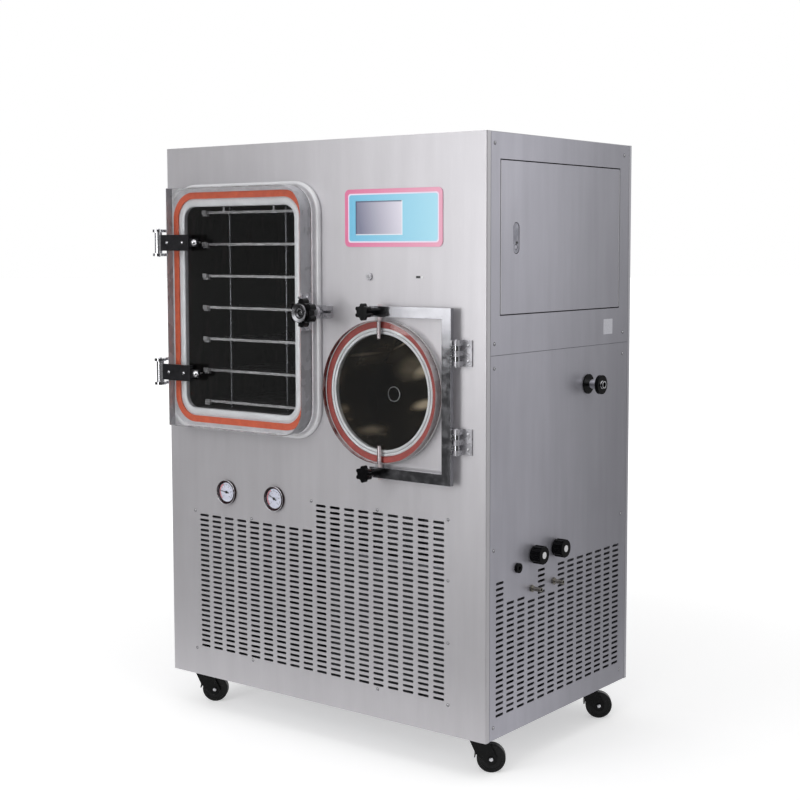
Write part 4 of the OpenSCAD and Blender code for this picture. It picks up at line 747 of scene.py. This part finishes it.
def floor():
    """A pale floor that shows white where it is lit and keeps the object's shadow. Metal and
    acrylic mirror it less brightly, darker still at the right, and in front of the object as
    the dim room's floor."""
    s = Shader("studio_floor")
    grain = s.noise(0.5, 2.0)
    matt = s.surface(s.blend(grain, (0.80, 0.80, 0.80, 1), (0.82, 0.82, 0.82, 1)), 0.9)
    path = s.add("LightPath").outputs
    mirrored = path["Is Glossy Ray"]
    seen = s.calc("MAXIMUM", path["Is Camera Ray"], path["Is Transmission Ray"])
    seen = s.calc("MAXIMUM", seen, s.calc("MULTIPLY", mirrored, 0.4))
    lift = s.spread(s.length(s.where), 1.2, 4.0, 0.42, 0.75, True)  # the lamps fade farther out
    lit = s.add("AddShader")
    s.put(lit.inputs[0], matt)
    s.put(lit.inputs[1], s.white("Emission", s.calc("MULTIPLY", seen, lift)))
    ahead = s.spread(s.axis(1), -0.40, -1.1, 0.0, 1.0, True)
    beside = s.spread(s.axis(0), 0.55, 1.3, 0.0, 1.0, True)
    dim = s.white("Emission", s.spread(ahead, 0.0, 1.0, BESIDE, ROOM))
    clear = s.calc("MULTIPLY", path["Is Transmission Ray"], THROUGH)
    clear = s.calc("MULTIPLY", mirrored, s.calc("SUBTRACT", 1.0, clear))
    share = s.calc("MULTIPLY", s.calc("MAXIMUM", ahead, beside), clear)
    s.show(s.mix(share, lit.outputs[0], dim))
    radius = 60.0
    bm = bmesh.new()
    lathe(bm, (0, 0, cad_box[0].z), UP, [(0.0, 0.0), (0.0, radius)], 64)
    mesh = bpy.data.meshes.new("studio_floor")
    bm.to_mesh(mesh)
    bm.free()
    mesh.materials.append(s.mat)
    obj = into_scene("studio_floor", mesh)


def chamber_rims():
    """Rounded outer edge of the chamber's flange, and the raised lip around its mouth."""
    low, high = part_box("drying_chamber")
    mid = centre("drying_chamber")
    inset = 0.004  # from the flange's edge to the middle of the bead
    w, h = high.x - low.x, high.z - low.z
    bm = bmesh.new()
    outline = rounded_outline(w - 2 * inset, h - 2 * inset, 0.081, 14)
    bead(bm, outline, mid, low.y + 0.0050, 0.0075, 16)
    piece("chamber_flange_rim", bm, M["rim"], "cabinet")
    bm = bmesh.new()
    mouth_w, mouth_h, mouth_r = 0.435, 0.589, 0.0455
    bead(bm, rounded_outline(mouth_w, mouth_h, mouth_r, 14), mid, low.y + 0.0004, 0.0088, 18, 0.36)
    piece("chamber_mouth_lip", bm, M["rim"], "cabinet")


def door_edges():
    """Sawn edge of the chamber door (round corners at the clamp's side, square ones at the
    hinges) and of the trap disc, as bands just under the clear face."""
    low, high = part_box("drying_door")
    mid = (low + high) / 2
    under, corner, steps = 0.0006, 0.078, 18  # how far under the face; the door's corner radius
    w, h = high.x - low.x - 2 * under, high.z - low.z - 2 * under
    outer = rounded_outline(w, h, corner - under, steps)
    top, foot = outer[:steps + 1], outer[-steps - 1:]
    outer = top + [(-w / 2, h / 2), (-w / 2, -h / 2)] + foot
    n = len(outer)
    y0, y1 = low.y + 0.0012, high.y - 0.0012
    bm = bmesh.new()
    strips = []
    for y, grow in ((y0, -0.0002), (y0 + 0.002, 0.0), (mid.y, 0.0002), (y1 - 0.002, 0.0),
                    (y1, -0.0002)):
        k = 1 + grow / 0.25  # the door is about 0.25 m from its middle to its edge
        strips.append([bm.verts.new((mid.x + p * k, y, mid.z + q * k)) for p, q in outer])
    for a, b in zip(strips, strips[1:]):
        for i in range(n):
            j = (i + 1) % n
            bm.faces.new((a[i], a[j], b[j], b[i]))
    piece("chamber_door_edge", bm, M["edge"], "chamber_door")
    low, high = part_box("trap_disc")
    mid = (low + high) / 2
    r = (high.x - low.x) / 2
    bm = bmesh.new()
    lathe(bm, (mid.x, low.y, mid.z), BACK,
          [(0.0010, r - 0.0012), (0.0020, r - 0.0007), (0.011, r - 0.0005),
           (0.0200, r - 0.0007), (0.0210, r - 0.0012)], 96)
    piece("trap_disc_edge", bm, M["disc_edge"], "trap_door")


def trap_rings():
    """Two low silvery rings around the cold trap's mouth, and the lip of its vapour port."""
    low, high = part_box("trap_gasket")
    mid = (low + high) / 2
    flange = FRONT - 0.010  # front face of the trap's flange
    bm = bmesh.new()
    for r in (0.1545, 0.1632):
        lathe(bm, (mid.x, flange, mid.z), OUT, oval(-0.0006, r, 0.0019, 0.0037, 16), 96, True)
    piece("trap_mouth_rings", bm, M["rim"], "cabinet")
    low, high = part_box("vapour_duct")
    port = (high.x - 0.034, low.y - 0.0104, (low.z + high.z) / 2)
    bm = bmesh.new()
    lathe(bm, port, OUT, oval(0.0, 0.0198, 0.0012, 0.0013, 10), 48, True)
    piece("trap_port_lip", bm, M["rim"], "cabinet")


def shelf_ends():
    """Bright blocks at the left front corner of every shelf but the lowest, and two hanger pins
    on the top shelf."""
    low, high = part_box("shelves")
    blocks, pitch = 6, 0.090
    outline = rounded_outline(0.016, 0.012, 0.002, 4)
    bm = bmesh.new()
    for i in range(blocks):
        z = high.z - 0.004 - pitch * i
        slab(bm, outline, RIGHT, UP, (low.x + 0.009, low.y, z), 0.0003, 0.0050, OUT)
    piece("shelf_end_blocks", bm, M["block"], "cabinet")
    bm = bmesh.new()
    x = (low.x + high.x) / 2
    for dx in (-0.104, 0.086):
        lathe(bm, (x + dx, low.y + 0.004, high.z - 0.001), UP,
              [(0.0, 0.0), (0.0, 0.0040), (0.002, 0.0040), (0.003, 0.0028), (0.017, 0.0028),
               (0.018, 0.0040), (0.021, 0.0040), (0.022, 0.0)], 20)
    piece("shelf_hanger_pins", bm, M["rim"], "cabinet")


def gauge(name, joint):
    """Printed face, marks, pink zone and numbers of a gauge, its glass and its chrome edge."""
    at = anchor(joint)
    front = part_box("gauge_cases")[0].y
    dial = FRONT - 0.003
    face = Vector((at.x, dial, at.z))
    bm = bmesh.new()
    lathe(bm, face, OUT,
          [(0.0002, 0.0022), (0.0002, 0.0272), (0.0006, 0.0270), (0.0006, 0.0022)], 64, True)
    piece(name + "_face", bm, M["dial"], "cabinet")
    bm = bmesh.new()
    sweep_from, sweep_to = -47.0, 227.0  # degrees from RIGHT towards UP
    steps, coarse = 50, 5
    for i in range(steps + 1):
        a = math.radians(sweep_from + (sweep_to - sweep_from) * i / steps)
        inner, wide = (0.0212, 0.00028) if i % coarse else (0.0195, 0.0005)
        slab(bm, [(inner, -wide), (0.0225, -wide), (0.0225, wide), (inner, wide)],
             (math.cos(a), 0, math.sin(a)), (-math.sin(a), 0, math.cos(a)), face,
             0.0006, 0.0008, OUT)
    piece(name + "_marks", bm, M["print"], "cabinet")
    bm = bmesh.new()
    steps = 40
    a0, a1 = math.radians(118), math.radians(227)
    turns = [a0 + (a1 - a0) * i / steps for i in range(steps + 1)]
    inner, outer = ([(r * math.cos(a), r * math.sin(a)) for a in turns] for r in (0.0232, 0.0262))
    for i in range(steps):
        slab(bm, [inner[i], outer[i], outer[i + 1], inner[i + 1]], RIGHT, UP, face,
             0.0006, 0.00085, OUT)
    piece(name + "_red_zone", bm, M["red"], "cabinet")
    bm = bmesh.new()
    lathe(bm, (at.x, front, at.z), OUT,
          [(-0.0014, 0.0), (-0.0014, 0.0303), (-0.0002, 0.0303), (0.0004, 0.020), (0.0006, 0.0)],
          64)
    piece(name + "_glass", bm, M["glass"], "cabinet")
    bm = bmesh.new()
    lathe(bm, (at.x, front, at.z), OUT, oval(-0.0008, 0.0343, 0.0012, 0.0010, 12), 72, True)
    piece(name + "_bright_ring", bm, M["chrome"], "cabinet")
    for value in range(0, 11, 2):
        a = math.radians(sweep_to - (sweep_to - sweep_from) * value / 10)
        curve = bpy.data.curves.new(f"{name}_number_{value}", "FONT")
        curve.body = str(value)
        curve.size = 0.0046
        curve.align_x = "CENTER"
        curve.align_y = "CENTER"
        curve.extrude = 0.0001
        curve.materials.append(M["print"])
        label = into_scene(f"{name}_number_{value}", curve)
        label.rotation_euler = (math.pi / 2, 0, 0)
        label.location = (at.x + 0.0158 * math.cos(a), dial - 0.0007, at.z + 0.0158 * math.sin(a))
        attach(label, "cabinet")


def data_socket():
    """Black insert of the data socket with a small white light beside it."""
    low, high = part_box("hmi_bezel")
    x, z = (low.x + high.x) / 2 + 0.080, anchor("key_turn").z
    bm = bmesh.new()
    box(bm, (x - 0.0068, FRONT + 0.00055, z - 0.0028), (x + 0.0068, FRONT + 0.01215, z + 0.0028))
    piece("data_socket_insert", bm, M["dark"], "cabinet")
    bm = bmesh.new()
    lathe(bm, (x + 0.0125, FRONT, z), OUT,
          [(0.0, 0.0), (0.0, 0.0030), (0.0008, 0.0028), (0.0012, 0.0016), (0.0013, 0.0)], 24)
    piece("data_socket_light", bm, M["white"], "cabinet")


def clamp_details():
    """Two bright rings, a wide one and a small one, in the face of the door's star knob."""
    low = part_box("clamp_knob")[0]
    mid = centre("clamp_knob")
    face = Vector((mid.x, low.y, mid.z))
    bm = bmesh.new()
    ring = [(-0.0004, 0.0150), (0.0002, 0.0152), (0.0030, 0.0222), (0.0036, 0.0236),
            (0.0030, 0.0244), (-0.0004, 0.0248)]
    lathe(bm, face, OUT, ring, 64, True)
    ring = [(-0.0030, 0.0078), (-0.0030, 0.0080), (0.0010, 0.0104), (0.0016, 0.0114),
            (0.0010, 0.0122), (-0.0030, 0.0123)]
    lathe(bm, face, OUT, ring, 48, True)
    piece("clamp_knob_rings", bm, M["stud"], "door_clamp")


def hinge_leaf_screws():
    """Two domed screws in each leaf of the trap door's hinges."""
    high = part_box("trap_hinge_leaves")[1]
    mid = centre("trap_hinge_leaves")
    leaf = FRONT - 0.004  # front face of the leaves
    bm = bmesh.new()
    for hinge in (-0.111, 0.111):
        for screw in (-0.019, 0.019):
            lathe(bm, (high.x - 0.0115, leaf, mid.z + hinge + screw), OUT,
                  [(0.0, 0.0), (0.0, 0.0046), (0.0010, 0.0044), (0.0020, 0.0030), (0.0024, 0.0)],
                  24)
    piece("trap_hinge_screws", bm, M["screw"], "cabinet")


def condenser_core():
    """Fins of the condenser, seen through the vents."""
    low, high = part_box("condenser")
    pitch, thick = 0.0045, 0.0009
    bm = bmesh.new()
    for i in range(int((high.x - low.x - 0.02) / pitch)):
        x = low.x + 0.010 + i * pitch
        box(bm, (x, low.y - 0.0035, low.z + 0.006), (x + thick, low.y, high.z - 0.006))
    piece("condenser_fins", bm, M["fins"], "cabinet")


def caster_bolts():
    """Bright bolt heads on the caster axles."""
    for tag in ("fl", "fr", "rl", "rr"):
        at = anchor("caster_roll_" + tag)
        axis = Vector(joints["caster_roll_" + tag]["axis"])
        bm = bmesh.new()
        for s in (-1, 1):
            lathe(bm, at + axis * s * 0.0215, axis * s,
                  [(0.0, 0.0), (0.0, 0.0052), (0.0012, 0.0052), (0.0026, 0.0040),
                   (0.0034, 0.0)], 24)
        piece("caster_bolt_" + tag, bm, M["chrome"], "caster_fork_" + tag)


def valve_caps():
    """Pale disc set in the end of each drain valve's knob."""
    for tag in ("front", "rear"):
        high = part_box("valve_knob_" + tag)[1]
        at = anchor(f"drain_valve_{tag}_turn")
        bm = bmesh.new()
        lathe(bm, (high.x, at.y, at.z), RIGHT,
              [(-0.0005, 0.0), (-0.0005, 0.0092), (0.0006, 0.0090), (0.0010, 0.0078),
               (0.0011, 0.0)], 40)
        piece(f"valve_cap_{tag}", bm, M["white"], "drain_valve_" + tag)


def islands(node):
    """Middle, low corner and high corner of every separate solid in a node's mesh."""
    mesh = nodes[node].data
    root = list(range(len(mesh.vertices)))

    def find(i):
        while root[i] != i:
            root[i] = root[root[i]]
            i = root[i]
        return i

    for e in mesh.edges:
        root[find(e.vertices[0])] = find(e.vertices[1])
    parts = {}
    for v in mesh.vertices:
        parts.setdefault(find(v.index), []).append(v.co)
    place = nodes[node].matrix_world
    found = []
    for group in parts.values():
        world = [place @ co for co in group]
        low = Vector([min(p[i] for p in world) for i in range(3)])
        high = Vector([max(p[i] for p in world) for i in range(3)])
        found.append(((low + high) / 2, low, high))
    return found


def screw_washers():
    """Dark dished washer, its darkness painted shade, and cross recess, a dark slab of painted
    shade, at every panel screw.
    """
    low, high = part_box("front_panel")
    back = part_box("rear_panel")[1].y
    faces = ((OUT, low.y), (BACK, back), (RIGHT, high.x), ((-1, 0, 0), low.x))
    up = Vector(UP)
    bm = bmesh.new()
    cross = bmesh.new()
    for mid, a, b in islands("panel_screws"):
        for out, plane in faces:
            out = Vector(out)
            i = 0 if out.x else 1
            tip = (b if out[i] > 0 else a)[i]
            proud = (tip - plane) * out[i]
            if not 0.0005 < proud < 0.004:  # the screw is in another face
                continue
            at = mid.copy()
            at[i] = plane
            r = (b.z - a.z) / 2
            # dished washer, dark with painted shade around the head
            lathe(bm, at, out, [(0.0001, r * 0.5), (0.0001, r * 1.25), (0.0003, r * 1.22),
                                (0.0005, r * 1.1), (0.0003, r * 0.5)], 24, True)
            # the cross recess is a dark slab of painted shade on the head
            p, q = 0.45 * r, 0.1 * r  # half length and half width of the cross's arms
            side = up.cross(out)
            for u, v in ((side, up), (up, side)):
                slab(cross, [(-p, -q), (p, -q), (p, q), (-p, q)], u, v, at, proud * 0.5,
                     proud + 0.00005, out)
    piece("screw_washers", bm, M["washer"], "cabinet")
    piece("screw_crosses", cross, M["dark"], "cabinet")


def access_details():
    """Folded bright edges of the access door, its latch's notch as a dark slab of painted shade,
    and a bare label below.
    """
    low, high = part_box("access_door")
    tall = high.z - low.z - 0.004
    bm = bmesh.new()
    for y in (low.y + 0.0004, high.y - 0.0004):
        lathe(bm, (high.x - 0.0004, y, low.z + 0.002), UP,
              [(0.0, 0.0), (0.0, 0.0009), (tall, 0.0009), (tall, 0.0)], 12)
    piece("access_door_folds", bm, M["rim"], "access_door")
    low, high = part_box("access_latch")
    mid = (low + high) / 2
    bm = bmesh.new()
    # the notch: a dark slab of painted shade
    slab(bm, rounded_outline(0.010, 0.006, 0.0025, 5), BACK, UP,
         (high.x, mid.y + 0.004, low.z + 0.027), -0.0004, 0.0003, RIGHT)
    piece("access_latch_notch", bm, M["dark"], "access_latch")
    bm = bmesh.new()
    slab(bm, rounded_outline(0.050, 0.042, 0.002, 5), BACK, UP, (SIDE, 0.290, 1.126),
         0.0, 0.0003, RIGHT)
    piece("bare_label", bm, M["label"], "cabinet")


dress_nodes()
camera()
studio()
floor()
chamber_rims()
door_edges()
trap_rings()
shelf_ends()
gauge("gauge_left", "gauge_left_needle_turn")
gauge("gauge_right", "gauge_right_needle_turn")
data_socket()
clamp_details()
hinge_leaf_screws()
condenser_core()
caster_bolts()
valve_caps()
screw_washers()
access_details()
